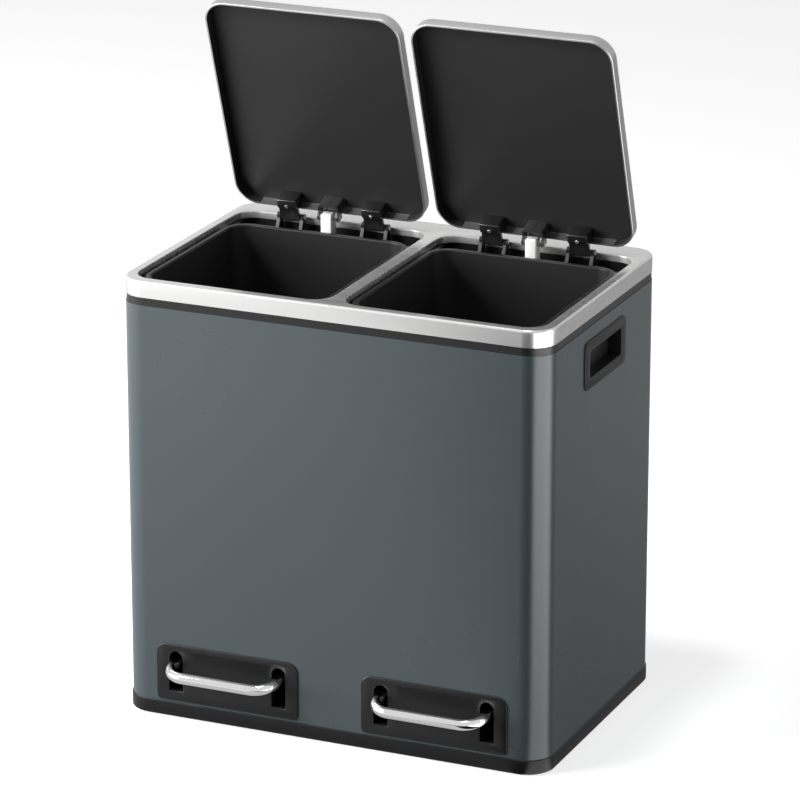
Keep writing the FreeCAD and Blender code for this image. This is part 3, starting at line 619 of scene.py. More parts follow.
def rounded_block(
    name: str, low: Sequence[float], high: Sequence[float], radius: float, steps: int = 12,
    axis: int = 2,
) -> bpy.types.Object:
    """Adds a block with the edges along one axis rounded.

    Args:
        name: Name of the piece.
        low: Its lowest corner.
        high: Its highest corner.
        radius: Radius of the rounded edges.
        steps: Faces across each rounded edge.
        axis: Axis that the rounded edges run along.

    Returns:
        The block.
    """
    obj = block(name, low, high)
    round_edges(obj, radius, steps, along(axis))
    return obj


def combine(obj: bpy.types.Object, other: bpy.types.Object, operation: str) -> None:
    """Combines another piece with this one and throws the other away.

    Args:
        obj: The piece that stays.
        other: The piece that is used up.
        operation: DIFFERENCE or UNION.
    """
    hold(obj)
    modifier = obj.modifiers.new(operation.lower(), "BOOLEAN")
    modifier.operation = operation
    modifier.solver = "EXACT"
    modifier.object = other
    bpy.ops.object.modifier_apply(modifier=modifier.name)
    mesh = other.data
    bpy.data.objects.remove(other)
    bpy.data.meshes.remove(mesh)


def cut(obj: bpy.types.Object, tool: bpy.types.Object) -> None:
    """Takes a tool's shape out of a piece."""
    combine(obj, tool, "DIFFERENCE")


def join(obj: bpy.types.Object, other: bpy.types.Object) -> None:
    """Fuses another piece into this one."""
    combine(obj, other, "UNION")


def gather(obj: bpy.types.Object, other: bpy.types.Object) -> None:
    """Takes another piece's mesh into this one as it is.

    Args:
        obj: The piece that stays.
        other: The piece that is used up.
    """
    hold(obj)
    other.select_set(True)
    bpy.ops.object.join()


def thicken(obj: bpy.types.Object, thickness: float, even: bool = True) -> None:
    """Gives an open skin its sheet thickness, on its inner side.

    Args:
        obj: The skin.
        thickness: Thickness of the sheet.
        even: Whether it stays as thick across bends.
    """
    hold(obj)
    modifier = obj.modifiers.new("sheet", "SOLIDIFY")
    modifier.thickness = thickness
    modifier.offset = -1.0
    modifier.use_even_offset = even
    bpy.ops.object.modifier_apply(modifier=modifier.name)


def merge(obj: bpy.types.Object, distance: float) -> None:
    """Merges doubled vertices and turns the faces outwards.

    Args:
        obj: The object to work on.
        distance: Vertices nearer than this become one.
    """
    hold(obj)
    bpy.ops.object.mode_set(mode="EDIT")
    bpy.ops.mesh.select_all(action="SELECT")
    bpy.ops.mesh.remove_doubles(threshold=distance)
    bpy.ops.mesh.normals_make_consistent(inside=False)
    bpy.ops.object.mode_set(mode="OBJECT")


def smooth(obj: bpy.types.Object) -> None:
    """Shades a piece smooth, apart from its sharp edges."""
    hold(obj)
    bpy.ops.object.shade_smooth_by_angle(angle=SMOOTH)


def turn(obj: bpy.types.Object, degrees: float, centre: Sequence[float]) -> None:
    """Turns a piece's mesh about a line along X, by the right-hand rule.

    Args:
        obj: The object to turn.
        degrees: Angle of the turn.
        centre: Point on the line.
    """
    hold(obj)
    spin = Matrix.Rotation(math.radians(degrees), 4, "X")
    middle = Matrix.Translation(Vector(centre))
    obj.matrix_world = middle @ spin @ middle.inverted() @ obj.matrix_world
    bpy.context.view_layer.update()
    settle(obj.name)


# ------------------------------ sub-assemblies
@dataclass
class Layout:
    """Places shared by the pieces, read from the frame."""

    corner: float = 34 * MM
    opening_bar: float = 13.5 * MM
    opening_cross: float = 18.0 * MM
    opening_rear: float = 44.5 * MM
    opening_corner: float = 27 * MM

    def __post_init__(self) -> None:
        """Reads the boxes and the hinge line."""
        ring_low, ring_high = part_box("trim_ring")
        shell_low, shell_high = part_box("body_shell")
        self.half_w = ring_high.x
        self.front_y, self.rear_y = ring_low.y, ring_high.y
        self.base_top, self.sleeve_top = shell_low.z, shell_high.z
        self.band_top, self.ring_top = ring_low.z, ring_high.z
        self.body = Outline((-self.half_w, self.front_y), (self.half_w, self.rear_y), self.corner)
        hinge = joint("lid_hinge_right")
        self.bin_x, self.hinge_y, self.hinge_z = hinge["pos_m"]
        self.lid_open = hinge["range_deg"][1]

    @property
    def hinge(self) -> tuple[float, float, float]:
        """A point on the hinge line."""
        return (0.0, self.hinge_y, self.hinge_z)

    def opening(self, side: Side) -> Outline:
        """Outline of one opening of the ring.

        Args:
            side: The compartment.

        Returns:
            Its outline.
        """
        near = side.sign * self.opening_cross / 2
        far = side.sign * (self.half_w - self.opening_bar)
        return Outline((min(near, far), self.front_y + self.opening_bar),
                       (max(near, far), self.rear_y - self.opening_rear), self.opening_corner)

    def from_axis(self, reach: float, rise: float) -> tuple[float, float]:
        """Depth and height of a point of the shut lid, given from the hinge line."""
        return (self.hinge_y - reach, self.hinge_z + rise)

    def lid_block(
        self, name: str, across: tuple[float, float], reach: tuple[float, float],
        rise: tuple[float, float],
    ) -> bpy.types.Object:
        """A block on the shut lid, given from the hinge line.

        Args:
            name: Name of the piece.
            across: Its two ends along the hinge line.
            reach: Its nearest and farthest reach in front of the hinge line.
            rise: Its lowest and highest rise above the hinge line.

        Returns:
            The block.
        """
        far_y, low_z = self.from_axis(reach[1], rise[0])
        near_y, high_z = self.from_axis(reach[0], rise[1])
        return block(name, (across[0], far_y, low_z), (across[1], near_y, high_z))

    def swing_open(self, obj: bpy.types.Object) -> None:
        """Turns a piece made on the shut lid up to where the lid stands open."""
        turn(obj, -self.lid_open, self.hinge)


@dataclass
class Assembly:
    """What each sub-assembly is given, and how it puts a piece on show."""

    layout: Layout
    finisher: Finisher
    side: Side = Side.LEFT

    @property
    def palette(self) -> Palette:
        """The finishes."""
        return self.finisher.palette

    @property
    def middle_x(self) -> float:
        """Middle of the compartment across the bin."""
        return self.side.sign * self.layout.bin_x

    def show(
        self, obj: bpy.types.Object, finish: Finish, body: str, slot: str, node: str
    ) -> None:
        """Smooths and dresses a piece and sets it in place of its solid.

        Args:
            obj: The piece.
            finish: Its finish.
            body: The body it rides on.
            slot: Name of its material slot; not used.
            node: The solid that it stands for.
        """
        smooth(obj)
        self.finisher.dress(obj, finish)
        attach(obj, body)
        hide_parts(node)
        LOG.info("%s: %d faces for %s", obj.name, len(obj.data.polygons), node)


@dataclass
class Sleeve(Assembly):
    """Painted sleeve with its windows for the pedal plates and the grips."""

    sheet: float = 1 * MM
    plate_margin: float = 6.85 * MM
    grip_margin: tuple[float, float] = (13.6 * MM, 11.6 * MM)
    cutter: float = 10 * MM

    def build(self) -> None:
        """Models the sleeve, dresses it and sets it in place of its solid."""
        lay = self.layout
        sleeve = lay.body.block("sleeve_sheet", lay.base_top, lay.sleeve_top, 20)
        open_faces(sleeve, 1, -1)
        thicken(sleeve, self.sheet)
        reach = self.cutter
        for side in Side:
            low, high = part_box("pedal_plate_" + side.value)
            gap = self.plate_margin
            cut(sleeve, block(
                "window", (low.x + gap, lay.front_y - reach, low.z + gap),
                (high.x - gap, lay.front_y + reach, high.z - gap)))
            low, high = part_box("side_handle_" + side.value)
            gap_y, gap_z = self.grip_margin
            wall = side.sign * lay.half_w
            cut(sleeve, block(
                "window", (wall - reach, low.y + gap_y, low.z + gap_z),
                (wall + reach, high.y - gap_y, high.z - gap_z)))
        self.show(sleeve, self.palette.sleeve, "housing", "sleeve", "body_shell")


@dataclass
class Skirting(Assembly):
    """Proud base moulding with softened edges."""

    wall: float = 2.5 * MM
    seat: float = 1.15 * MM
    floor: float = 6 * MM
    top_edge: float = 0.9 * MM
    low_edge: float = 2.5 * MM
    overlap: float = 2 * MM

    def build(self) -> None:
        """Models the base, dresses it and sets it in place of its solid."""
        lay = self.layout
        low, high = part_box("base_moulding")
        proud = lay.half_w - high.x
        skirt = lay.body.inset(proud)
        base = skirt.block("base_skirting", low.z, lay.base_top, 20)
        round_edges(base, self.low_edge, 4, at(low.z, [skirt]))
        round_edges(base, self.top_edge, 3, at(lay.base_top, [skirt]))
        foot = lay.body.inset(self.seat)
        join(base, foot.block("upstand", lay.base_top - self.overlap, high.z))
        cut(base, foot.inset(self.wall).block("tray", low.z + self.floor, high.z + MM))
        self.show(base, self.palette.skirting, "housing", "base", "base_moulding")


@dataclass
class TrimRing(Assembly):
    """Pressed steel ring round both openings."""

    sheet: float = 1.2 * MM
    edge: float = 3.4 * MM
    lip: float = 1.1 * MM
    flange: float = 9 * MM
    doubles: float = 0.05 * MM

    def build(self) -> None:
        """Models the ring, dresses it and sets it in place of its solid."""
        lay = self.layout
        openings = [lay.opening(side) for side in Side]
        ring = lay.body.block("ring_pressing", lay.band_top, lay.ring_top, 20)
        for opening in openings:
            cut(ring, opening.block("opening", lay.band_top - MM, lay.ring_top + MM))
        open_faces(ring, -1)
        pick_verts(ring, at(lay.band_top, openings))
        bpy.ops.transform.translate(value=(0.0, 0.0, lay.ring_top - self.flange - lay.band_top))
        done()
        round_edges(ring, self.edge, 6, at(lay.ring_top, [lay.body]))
        round_edges(ring, self.lip, 4, at(lay.ring_top, openings))
        merge(ring, self.doubles)
        thicken(ring, self.sheet, even=False)
        self.show(ring, self.palette.ring, "housing", "ring", "trim_ring")


@dataclass
class Bucket(Assembly):
    """Tapered inner bucket with a rounded rim."""

    rim: float = 6 * MM
    rim_corner: float = 32 * MM
    wall: float = 2 * MM
    taper: float = 11 * MM
    edge: float = 1.6 * MM
    foot_edge: float = 6 * MM

    def build(self) -> None:
        """Models the bucket, dresses it and sets it in place of its solid."""
        name = self.side.value
        low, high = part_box("bucket_" + name)
        outer = Outline((low.x, low.y), (high.x, high.y), self.rim_corner)
        wall = outer.inset(self.rim)
        bucket = wall.block("bucket_tub_" + name, low.z, high.z - self.edge)
        span = (wall.high[0] - wall.low[0], wall.high[1] - wall.low[1])
        middle = ((low.x + high.x) / 2, (low.y + high.y) / 2, low.z)
        pick_verts(bucket, at(low.z))
        bpy.ops.transform.resize(
            value=(1 - 2 * self.taper / span[0], 1 - 2 * self.taper / span[1], 1.0),
            center_override=middle)
        done()
        round_edges(bucket, self.foot_edge, 4, at(low.z))
        open_faces(bucket, 1)
        thicken(bucket, self.wall)
        rim = outer.block("rim", high.z - self.rim, high.z)
        mouth = outer.inset(self.rim + self.wall / 2)
        cut(rim, mouth.block("mouth", high.z - 2 * self.rim, high.z + MM))
        round_edges(rim, self.edge, 4, at(high.z))
        gather(bucket, rim)
        self.show(bucket, self.palette.bucket, "bucket_" + name, "bucket", "bucket_" + name)


@dataclass
class CarryHandle(Assembly):
    """Recessed carry handle with a softened plate."""

    plate: float = 2 * MM
    corner: float = 10 * MM
    grip: tuple[float, float] = (108 * MM, 35 * MM)
    grip_corner: float = 5 * MM
    depth: float = 18 * MM
    wall: float = 2 * MM
    edge: float = 0.9 * MM

    def build(self) -> None:
        """Models the handle, dresses it and sets it in place of its solid."""
        name = self.side.value
        low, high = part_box("side_handle_" + name)
        face = high.x if self.side is Side.RIGHT else low.x
        inward = -self.side.sign
        middle = [(low[i] + high[i]) / 2 for i in range(3)]

        def span(start: float, end: float, grow: float) -> list[tuple[float, float, float]]:
            """Corners of the grip's space between two depths.

            Args:
                start: Depth behind the plate's face where it starts.
                end: Depth where it ends.
                grow: Margin that it is wider by on every side.

            Returns:
                Its lowest and its highest corner.
            """
            half = (self.grip[0] / 2 + grow, self.grip[1] / 2 + grow)
            x0, x1 = sorted((face + inward * start, face + inward * end))
            return [(x0, middle[1] - half[0], middle[2] - half[1]),
                    (x1, middle[1] + half[0], middle[2] + half[1])]

        back = face + inward * self.plate
        handle = rounded_block(
            "grip_recess_" + name, (min(face, back), low.y, low.z),
            (max(face, back), high.y, high.z), self.corner, 8, axis=0)
        join(handle, block("cup", *span(self.plate / 2, self.depth + self.wall, self.wall)))
        cut(handle, rounded_block("hollow", *span(-self.plate, self.depth, 0.0),
                                  self.grip_corner, 8, axis=0))
        round_edges(handle, self.edge, 3, at(face, axis=0))
        self.show(handle, self.palette.grip, "housing", "grip", "side_handle_" + name)


@dataclass
class PedalPlate(Assembly):
    """Slotted plate that one pedal passes through."""

    thickness: float = 2 * MM
    top_corner: float = 14 * MM
    low_corner: float = 6 * MM
    slot_w: float = 19.3 * MM
    slot_h: float = 54 * MM
    slot_low: float = 13.5 * MM
    spread: float = 72 * MM
    tube_wall: float = 2 * MM
    edge: float = 1.0 * MM
    full_round: float = 0.999

    def build(self) -> None:
        """Models the plate, dresses it and sets it in place of its solid."""
        name = self.side.value
        low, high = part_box("pedal_plate_" + name)
        middle = (low.x + high.x) / 2
        plate = block("slotted_plate_" + name, low, (high.x, low.y + self.thickness, high.z))
        round_edges(plate, self.top_corner, 8, along(1, above=(low.z + high.z) / 2))
        round_edges(plate, self.low_corner, 8, along(1, below=low.z + NEAR))
        slot_z = low.z + self.slot_low
        for s in (-1, 1):
            x = middle + s * self.spread
            half = self.slot_w / 2
            reach = half + self.tube_wall
            join(plate, block(
                "tube", (x - reach, low.y + self.thickness / 2, slot_z - self.tube_wall),
                (x + reach, high.y, slot_z + self.slot_h + self.tube_wall)))
            tool = block("slot", (x - half, low.y - MM, slot_z),
                         (x + half, high.y + MM, slot_z + self.slot_h))
            round_edges(tool, half * self.full_round, 10,
                        along(1, above=slot_z + self.slot_h / 2))
            cut(plate, tool)
        round_edges(plate, self.edge, 3, at(low.y, axis=1))
        self.show(plate, self.palette.plate, "housing", "pedal_plate", "pedal_plate_" + name)


@dataclass
class PedalBar(Assembly):
    """Bent chrome bar of one pedal, with its tilt."""

    spread: float = 72 * MM
    radius: float = 7.25 * MM
    bend: float = 25 * MM
    reach_out: float = 35 * MM
    tilt: float = 7.0
    tail: float = 10 * MM
    sides: int = 40
    bend_steps: int = 16

    def build(self) -> None:
        """Bends the bar from a round blank, dresses it and sets it in place of its solid."""
        name = self.side.value
        cx, pivot_y, pivot_z = joint("pedal_pivot_" + name)["pos_m"]
        level = pivot_y - (self.layout.front_y - self.reach_out)
        front = pivot_y - level / math.cos(math.radians(self.tilt))
        back = pivot_y + self.tail
        left = cx - self.spread
        clear()
        bpy.ops.mesh.primitive_circle_add(
            vertices=self.sides, radius=self.radius, fill_type="NOTHING",
            location=(left, back, pivot_z), rotation=(math.pi / 2, 0.0, 0.0))
        bar = settle("pedal_tube_" + name)
        bpy.ops.object.mode_set(mode="EDIT")
        bpy.ops.mesh.select_all(action="SELECT")
        turn_y = front + self.bend
        self._push((0.0, turn_y - back, 0.0))
        self._spin((left + self.bend, turn_y, pivot_z))
        self._push((2 * (self.spread - self.bend), 0.0, 0.0))
        self._spin((cx + self.spread - self.bend, turn_y, pivot_z))
        self._push((0.0, back - turn_y, 0.0))
        bpy.ops.mesh.select_all(action="SELECT")
        bpy.ops.mesh.remove_doubles(threshold=TINY)
        bpy.ops.mesh.select_all(action="DESELECT")
        bpy.ops.mesh.select_non_manifold()
        bpy.ops.mesh.fill_holes(sides=0)
        bpy.ops.mesh.select_all(action="SELECT")
        bpy.ops.mesh.fill_holes(sides=0)
        bpy.ops.mesh.normals_make_consistent(inside=False)
        bpy.ops.object.mode_set(mode="OBJECT")
        turn(bar, self.tilt, (cx, pivot_y, pivot_z))
        self.show(bar, self.palette.chrome, "pedal_" + name, "pedal_chrome", "pedal_bar_" + name)

    @staticmethod
    def _push(step: tuple[float, float, float]) -> None:
        """Draws the open end out along a straight."""
        bpy.ops.mesh.extrude_region_move(TRANSFORM_OT_translate={"value": step})

    def _spin(self, centre: tuple[float, float, float]) -> None:
        """Takes the open end a quarter turn round a bend."""
        bpy.ops.mesh.spin(steps=self.bend_steps, dupli=False, angle=-math.pi / 2, center=centre,
                          axis=(0.0, 0.0, 1.0))


@dataclass
class LidPan(Assembly):
    """Steel pan of one lid, open at the hinge angle."""

    rear_gap: float = 14 * MM
    lap: float = 1.5 * MM
    lip_rise: float = -0.2 * MM
    height: float = 17 * MM
    corner: float = 30 * MM
    edge: float = 4 * MM
    lip: float = 2.5 * MM
    lip_edge: float = 1 * MM
    sheet: float = 1 * MM

    def build(self) -> None:
        """Presses the pan shut, opens it, dresses it and sets it in place of its solid."""
        name = self.side.value
        opening = self.layout.opening(self.side).inset(-self.lap)
        low_z = self.layout.hinge_z + self.lip_rise
        high_z = low_z + self.height
        rear_y, _ = self.layout.from_axis(self.rear_gap, 0.0)
        rim = Outline(opening.low, (opening.high[0], rear_y), self.corner)
        pan = rim.block("lid_pressing_" + name, low_z, high_z, 20)
        round_edges(pan, self.edge, 6, at(high_z))
        pick_faces(pan, -1)
        bpy.ops.mesh.inset(thickness=self.lip, depth=0.0)
        bpy.ops.mesh.delete(type="FACE")
        done()
        round_edges(pan, self.lip_edge, 3, at(low_z, [rim]))
        thicken(pan, self.sheet)
        self.layout.swing_open(pan)
        self.show(pan, self.palette.pan, "lid_" + name, "lid_steel", "lid_pan_" + name)


@dataclass
class LidHinges(Assembly):
    """Leaves and screws of one lid's two hinges."""

    spread: float = 60 * MM
    leaf_w: float = 27 * MM
    leaf_reach: tuple[float, float] = (18 * MM, 30.5 * MM)
    leaf_rise: tuple[float, float] = (-9 * MM, 13.8 * MM)
    neck_reach: float = 19 * MM
    neck_rise: tuple[float, float] = (-5 * MM, -1.2 * MM)
    knuckle: float = 5 * MM
    edge: float = 1.1 * MM
    screw: float = 2.5 * MM
    screw_reach: float = 21.5 * MM
    screw_h: float = 1.4 * MM
    screw_edge: float = 0.6 * MM

    def build(self) -> None:
        """Models both leaves and their screws and sets them in place of their solids."""
        name = self.side.value
        cx = self.middle_x
        heads = []
        for place, s in (("outer", self.side.sign), ("inner", -self.side.sign)):
            x = cx + s * self.spread
            leaf = self._leaf("hinge_block_" + name + "_" + place, x)
            self.show(leaf, self.palette.hinge, "lid_" + name, "hinge_plastic",
                      "hinge_leaf_" + name + "_" + place)
            heads.append(self._screw(x))
        screws = heads[0]
        gather(screws, heads[1])
        screws.name = "leaf_screws_" + name
        self.show(screws, self.palette.screw, "lid_" + name, "screw", "hinge_screws_" + name)

    def _leaf(self, name: str, x: float) -> bpy.types.Object:
        """One leaf: block on the lining, neck under the lip and knuckle on the axis.

        Args:
            name: Name of the piece.
            x: Its middle along the hinge line.

        Returns:
            The leaf, with its lid open.
        """
        lay = self.layout
        across = (x - self.leaf_w / 2, x + self.leaf_w / 2)
        leaf = lay.lid_block(name, across, self.leaf_reach, self.leaf_rise)
        round_edges(leaf, self.edge, 3, lambda a, b: True)
        neck = lay.lid_block("neck", across, (0.0, self.neck_reach), self.neck_rise)
        knuckle = disc("knuckle", (x, lay.hinge_y, lay.hinge_z), self.knuckle,
                       self.leaf_w, 32)
        join(leaf, neck)
        join(leaf, knuckle)
        lay.swing_open(leaf)
        return leaf

    def _screw(self, x: float) -> bpy.types.Object:
        """One screw head with a driver recess, on the face of a leaf.

        Args:
            x: Its middle along the hinge line.

        Returns:
            The screw head, with its lid open.
        """
        y, z = self.layout.from_axis(self.screw_reach, self.leaf_rise[0])
        head = disc("screw_head", (x, y, z - self.screw_h / 2), self.screw,
                    self.screw_h, 24, turn=0.0)
        round_edges(head, self.screw_edge, 3, at(z - self.screw_h))
        cut(head, disc("recess", (x, y, z - self.screw_h), self.screw / 2,
                       self.screw_h, 6, turn=0.0))
        self.layout.swing_open(head)
        return head


@dataclass
class PushHead(Assembly):
    """White head of the push rod, its pin and the bracket that it lifts."""

    lever: float = 18 * MM
    shut: float = -36.0
    plate: float = 2.5 * MM
    inner: float = 12 * MM
    web_reach: float = 30 * MM
    back_reach: float = 18 * MM
    front_rise: float = -10 * MM
    lining_rise: float = 13.8 * MM
    boss: float = 5.5 * MM
    head_edge: float = 3 * MM
    pin: float = 3 * MM
    pin_proud: float = 1.5 * MM
    pin_edge: float = 1 * MM
    web_edge: float = 3.5 * MM
    lip: float = 2.5 * MM
    lip_h: float = 1.6 * MM
    lip_start: float = 0.5 * MM
    link_top: float = -1.2 * MM
    seam: float = 0.3 * MM
    seam_depth: float = 0.8 * MM
    body_edge: float = 1.2 * MM
    slot_gap: float = 0.6 * MM
    slot_front: float = 3.5 * MM

    def build(self) -> None:
        """Models bracket, pin and head and sets them in place of their solids."""
        name = self.side.value
        cx = self.middle_x
        bracket = self._bracket("push_bracket_" + name, cx)
        self.show(bracket, self.palette.bracket, "lid_" + name, "hinge_plastic",
                  "lever_bracket_" + name)
        pin = self._pin("push_pin_" + name, cx)
        self.show(pin, self.palette.nylon, "lid_" + name, "nylon", "lever_pin_" + name)
        head = self._head("push_head_" + name)
        self.show(head, self.palette.nylon, "rod_" + name, "nylon", "rod_head_" + name)

    @property
    def _pin_place(self) -> tuple[float, float]:
        """Reach and rise of the pin on the shut lid."""
        angle = math.radians(self.shut)
        return (self.lever * math.cos(angle), self.lever * math.sin(angle))

    def _bracket(self, name: str, cx: float) -> bpy.types.Object:
        """U bracket with bosses round the pin and a folded lip on its front edge.

        Args:
            name: Name of the piece.
            cx: Its middle along the hinge line.

        Returns:
            The bracket, with its lid open.
        """
        lay = self.layout
        outer = self.inner + self.plate
        reach, rise = self._pin_place
        bracket = lay.lid_block(name, (cx - outer, cx + outer), (self.back_reach, self.web_reach),
                                (self.front_rise, self.lining_rise))
        web_y, _ = lay.from_axis(self.web_reach, 0.0)
        round_edges(
            bracket, self.web_edge, 5,
            lambda a, b: max(a.y, b.y) < web_y + NEAR and abs(a.x - b.x) < TINY)
        boss_y, boss_z = lay.from_axis(reach, rise)
        join(bracket, disc("boss", (cx, boss_y, boss_z), self.boss, 2 * outer,
                           32))
        link = lay.lid_block("link", (cx - outer, cx + outer),
                             (reach - self.boss, self.back_reach + MM),
                             (rise, self.link_top))
        join(bracket, link)
        cut(bracket, lay.lid_block(
            "space", (cx - self.inner, cx + self.inner), (0.0, self.web_reach - self.plate),
            (-30 * MM, self.lining_rise - self.plate)))
        fold = lay.lid_block("fold", (cx + self.lip_start, cx + self.inner),
                             (self.web_reach - self.plate - self.lip, self.web_reach - MM),
                             (self.front_rise, self.front_rise + self.lip_h))
        join(bracket, fold)
        seam = lay.lid_block("seam", (cx - self.seam, cx + self.seam),
                             (self.web_reach - self.seam_depth, self.web_reach + MM),
                             (self.front_rise - MM, self.lining_rise + MM))
        cut(bracket, seam)
        lay.swing_open(bracket)
        return bracket

    def _pin(self, name: str, cx: float) -> bpy.types.Object:
        """Pin through both cheeks with rounded ends.

        Args:
            name: Name of the piece.
            cx: Its middle along the hinge line.

        Returns:
            The pin, with its lid open.
        """
        lay = self.layout
        y, z = lay.from_axis(*self._pin_place)
        length = 2 * (self.inner + self.plate + self.pin_proud)
        pin = disc(name, (cx, y, z), self.pin, length, 32)
        round_edges(pin, self.pin_edge, 4, lambda a, b: abs(a.x - b.x) < TINY)
        lay.swing_open(pin)
        return pin

    def _head(self, name: str) -> bpy.types.Object:
        """Nylon head with rounded shoulders and the slot that the pin slides in.

        Args:
            name: Name of the piece.

        Returns:
            The head.
        """
        low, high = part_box("rod_head_" + self.side.value)
        head = block(name, low, high)
        round_edges(head, self.body_edge, 3, along(2))
        round_edges(head, self.head_edge, 5, at(high.z))
        pin_low, pin_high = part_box("lever_pin_" + self.side.value)
        middle_z = (pin_low.z + pin_high.z) / 2
        half = self.pin + self.slot_gap
        cut(head, rounded_block(
            "slot", (low.x - MM, pin_low.y - self.slot_front, middle_z - half),
            (high.x + MM, pin_high.y + self.slot_gap, middle_z + half), self.pin, 6, axis=0))
        return head


# ------------------------------ stage
def set_up(data: bpy.types.ID, place: Vector, ahead: Vector) -> bpy.types.Object:
    """Sets up a lamp or a camera.

    Args:
        data: The lamp or camera.
        place: Where it stands.
        ahead: Direction that it looks in.

    Returns:
        Its object.
    """
    obj = bpy.data.objects.new(data.name, data)
    bpy.context.scene.collection.objects.link(obj)
    obj.location = place
    obj.rotation_mode = "QUATERNION"
    obj.rotation_quaternion = ahead.to_track_quat("-Z", "Y")
    return obj


@dataclass
class PhotoCamera:
    """Camera at the viewing angle of the photograph."""

    yaw: float = 0.4115
    pitch: float = 0.3218
    distance: float = 5.8577
    sideways: float = 0.0115
    aim: tuple[float, float, float] = (0.0, 0.020425, 0.3995)
    focal_px: float = 4600.0
    image_px: float = 800.0
    sensor: float = 36.0
    clip: tuple[float, float] = (0.1, 60.0)

    def build(self) -> None:
        """Makes the camera and sets it as the scene's."""
        data = bpy.data.cameras.new("photo_camera")
        data.sensor_width = self.sensor
        data.lens = self.focal_px / self.image_px * self.sensor
        data.clip_start, data.clip_end = self.clip
        ahead = Vector((-math.sin(self.yaw) * math.cos(self.pitch),
                        math.cos(self.yaw) * math.cos(self.pitch), -math.sin(self.pitch)))
        right = Vector((math.cos(self.yaw), math.sin(self.yaw), 0.0))
        place = Vector(self.aim) - ahead * self.distance + right * self.sideways
        bpy.context.scene.camera = set_up(data, place, ahead)
        LOG.info("camera %.0f mm at %s", data.lens, tuple(round(c, 3) for c in place))


@dataclass(frozen=True)
class Lamp:
    """A studio light: where it hangs, what it is aimed at and how strong it is."""

    name: str
    place: tuple[float, float, float]
    target: tuple[float, float, float]
    watts: float

    def hang(self, data: bpy.types.Light) -> None:
        """Sets the lamp's strength and hangs it."""
        data.energy = self.watts
        set_up(data, Vector(self.place), Vector(self.target) - Vector(self.place))


@dataclass(frozen=True)
class Softbox(Lamp):
    """One rectangular studio light."""

    size: tuple[float, float]

    def build(self) -> None:
        """Hangs the light."""
        data = bpy.data.lights.new(self.name, "AREA")
        data.shape = "RECTANGLE"
        data.size, data.size_y = self.size
        self.hang(data)


@dataclass(frozen=True)
class TopSpot(Lamp):
    """Soft spot on the bin's top, whose cone hardly reaches the floor."""

    radius: float
    cone: float
    blend: float = 0.6

    def build(self) -> None:
        """Hangs the spot."""
        data = bpy.data.lights.new(self.name, "SPOT")
        data.shadow_soft_size = self.radius
        data.spot_size = self.cone
        data.spot_blend = self.blend
        self.hang(data)


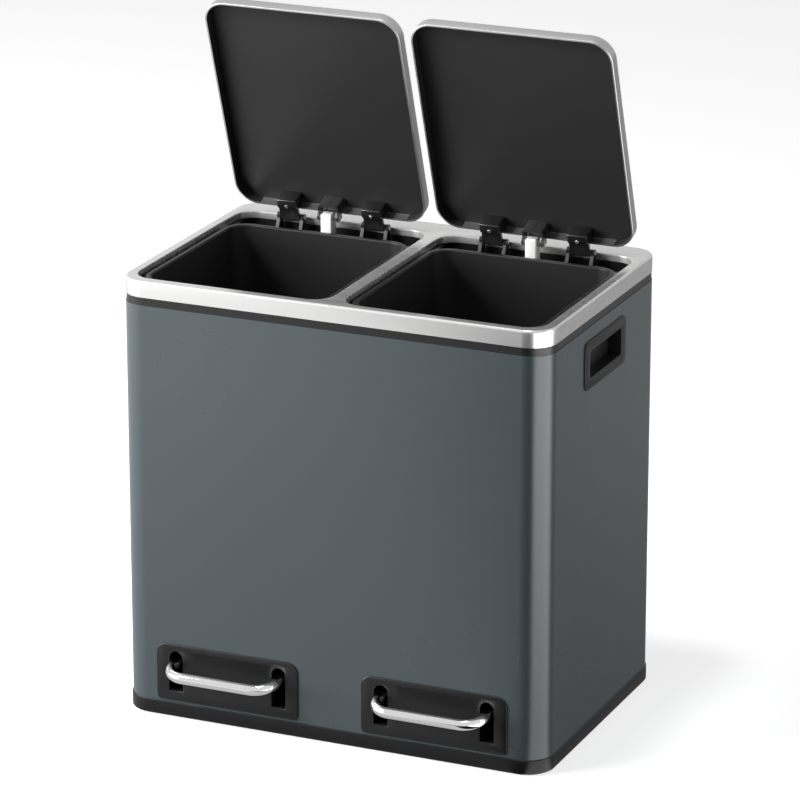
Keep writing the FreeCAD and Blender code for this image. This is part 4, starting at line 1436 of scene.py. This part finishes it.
@dataclass
class Studio:
    """Pale floor, pale surroundings and soft lights.

    Upright faces mirror the floor near the bin, so the floor that they mirror has its own
    levels: these are read by the direction from the bin's front right corner.
    """

    seen: float = 1.0
    ambient: float = 0.05
    mirrored_sky: float = 0.95
    floor_glow: float = 0.70
    dim: float = 0.3
    mirror_centre: tuple[float, float] = (0.255, -0.16)
    mirror_peak: float = 6.0
    mirror_levels: tuple[tuple[float, float], ...] = (
        (-90.0, 1.1), (-45.0, 1.45), (-28.0, 1.45), (-19.0, 0.02), (26.0, 0.02), (42.0, 6.0),
        (104.0, 6.0), (122.0, 0.5), (200.0, 0.5), (268.0, 1.1))
    mirror_near: tuple[float, float] = (0.2, 0.5)
    mirror_far: tuple[float, float] = (1.6, 1.0)
    paper: float = 0.9
    floor_size: float = 60.0
    lights: tuple[Softbox, ...] = field(default_factory=lambda: (
        Softbox("key_left", (-3.39, -1.96, 1.13), (0.0, 0.0, 0.3), 258.0, (3.6, 2.0)),
        Softbox("fill_right", (3.89, 0.41, 1.13), (0.0, 0.0, 0.3), 48.0, (0.8, 2.0)),
        Softbox("near_left", (-1.6, -1.2, 1.9), (-0.1, 0.0, 0.6), 50.0, (0.6, 0.6)),
    ))
    spot: TopSpot = TopSpot("top_spot", (-0.1, -0.3, 2.6), (0.0, 0.02, 0.58), 100.0, 0.24, 0.42)

    def build(self) -> None:
        """Lays the floor and hangs the lights."""
        bpy.context.scene.view_settings.view_transform = "Standard"
        self._surroundings()
        self._floor()
        for light in (*self.lights, self.spot):
            light.build()

    def _surroundings(self) -> None:
        """White where the camera sees it and dimmer where it only lights the bin."""
        world = bpy.data.worlds.new("studio_surroundings")
        bpy.context.scene.world = world
        graph = Graph(world)
        graph.by_ray("OutputWorld", *(
            graph.add("Background", {"Color": WHITE, "Strength": level})
            for level in (self.ambient, self.mirrored_sky, self.seen)))

    def _floor(self) -> None:
        """White paper floor, with its own levels for light that bounces and for mirroring."""
        clear()
        bpy.ops.mesh.primitive_plane_add(size=self.floor_size, location=(0.0, 0.0, 0.0))
        floor = bpy.context.object
        floor.name = "studio_floor"
        mat = bpy.data.materials.new("studio_floor_paper")
        graph = Graph(mat)
        bright, dim = (graph.add("BsdfDiffuse", {"Color": (level, level, level, 1.0)})
                       for level in (self.paper, self.dim))
        seen = graph.add("AddShader")
        graph.link(bright, seen, 0)
        graph.link(graph.add("Emission", {"Strength": self.floor_glow}), seen, 1)
        graph.by_ray("OutputMaterial", dim, self._mirrored(graph), seen)
        floor.data.materials.append(mat)

    def _mirrored(self, graph: Graph) -> bpy.types.Node:
        """Floor as the bin mirrors it: levels by direction, rising away from the bin.

        Args:
            graph: The floor's nodes.

        Returns:
            An emission node.
        """
        centre_x, centre_y = self.mirror_centre
        centred = graph.add("Mapping", {"Location": (-centre_x, -centre_y, 0.0)})
        graph.link(graph.add("TexCoord"), centred, "Vector", "Object")
        around = graph.add("TexGradient")
        around.gradient_type = "RADIAL"
        graph.link(centred, around, "Vector")
        ramp = graph.add("ValToRGB")
        graph.link(around, ramp, "Fac")
        stops = ramp.color_ramp.elements
        for index, (direction, level) in enumerate(self.mirror_levels):
            place = direction / 360.0 + 0.25
            stop = stops[index] if index < 2 else stops.new(place)
            stop.position = place
            stop.color = (*(level / self.mirror_peak for _ in range(3)), 1.0)
        length = graph.add("VectorMath")
        length.operation = "LENGTH"
        graph.link(centred, length, 0)
        near, far = self.mirror_near, self.mirror_far
        rise = graph.add("MapRange", {
            "From Min": near[0], "To Min": near[1], "From Max": far[0], "To Max": far[1]})
        graph.link(length, rise, "Value", "Value")
        strength = graph.add("Math", {1: self.mirror_peak})
        strength.operation = "MULTIPLY"
        graph.link(rise, strength, 0)
        glow = graph.add("Emission")
        graph.link(ramp, glow, "Color")
        graph.link(strength, glow, "Strength")
        return glow


class PedalBin:
    """The whole bin: finer pieces first, then finishes for every solid that stays in view."""

    def __init__(self) -> None:
        """Sets out the layout and the finishes."""
        self.layout = Layout()
        self.finisher = Finisher(Palette())

    def build(self) -> None:
        """Builds and dresses every sub-assembly."""
        given = (self.layout, self.finisher)
        for assembly in (Sleeve, Skirting, TrimRing):
            assembly(*given).build()
        for side in Side:
            for assembly in (Bucket, CarryHandle, PedalPlate, PedalBar, LidPan, LidHinges,
                             PushHead):
                assembly(*given, side).build()
        palette = self.finisher.palette
        for finish, prefixes in (
            (palette.sleeve, ("body_shell",)),
            (palette.skirting, ("base_moulding",)),
            (palette.collar, ("collar_frame",)),
            (palette.ring, ("trim_ring",)),
            (palette.bucket, ("bucket_",)),
            (palette.pan, ("lid_pan_",)),
            (palette.lining, ("lid_liner_",)),
            (palette.hinge, ("hinge_leaf_", "hinge_seat_", "rod_bush_")),
            (palette.screw, ("seat_screws", "bracket_screws", "hinge_screws_")),
            (palette.bracket, ("lever_bracket_",)),
            (palette.nylon, ("lever_pin_", "rod_head_")),
            (palette.zinc, ("hinge_pin_", "push_rod_", "rod_guide_", "pedal_lever_",
                            "pedal_bracket_", "pivot_pin_")),
            (palette.plate, ("pedal_plate_",)),
            (palette.chrome, ("pedal_bar_",)),
            (palette.grip, ("side_handle_",)),
            (palette.foot, ("foot_",)),
        ):
            self.finisher.dress_nodes(prefixes, finish)


def main() -> None:
    """Builds the bin, the studio and the camera."""
    logging.basicConfig(level=logging.INFO, format="%(name)s: %(message)s")
    PedalBin().build()
    Studio().build()
    PhotoCamera().build()
    clear()


if __name__ == "__main__":
    main()
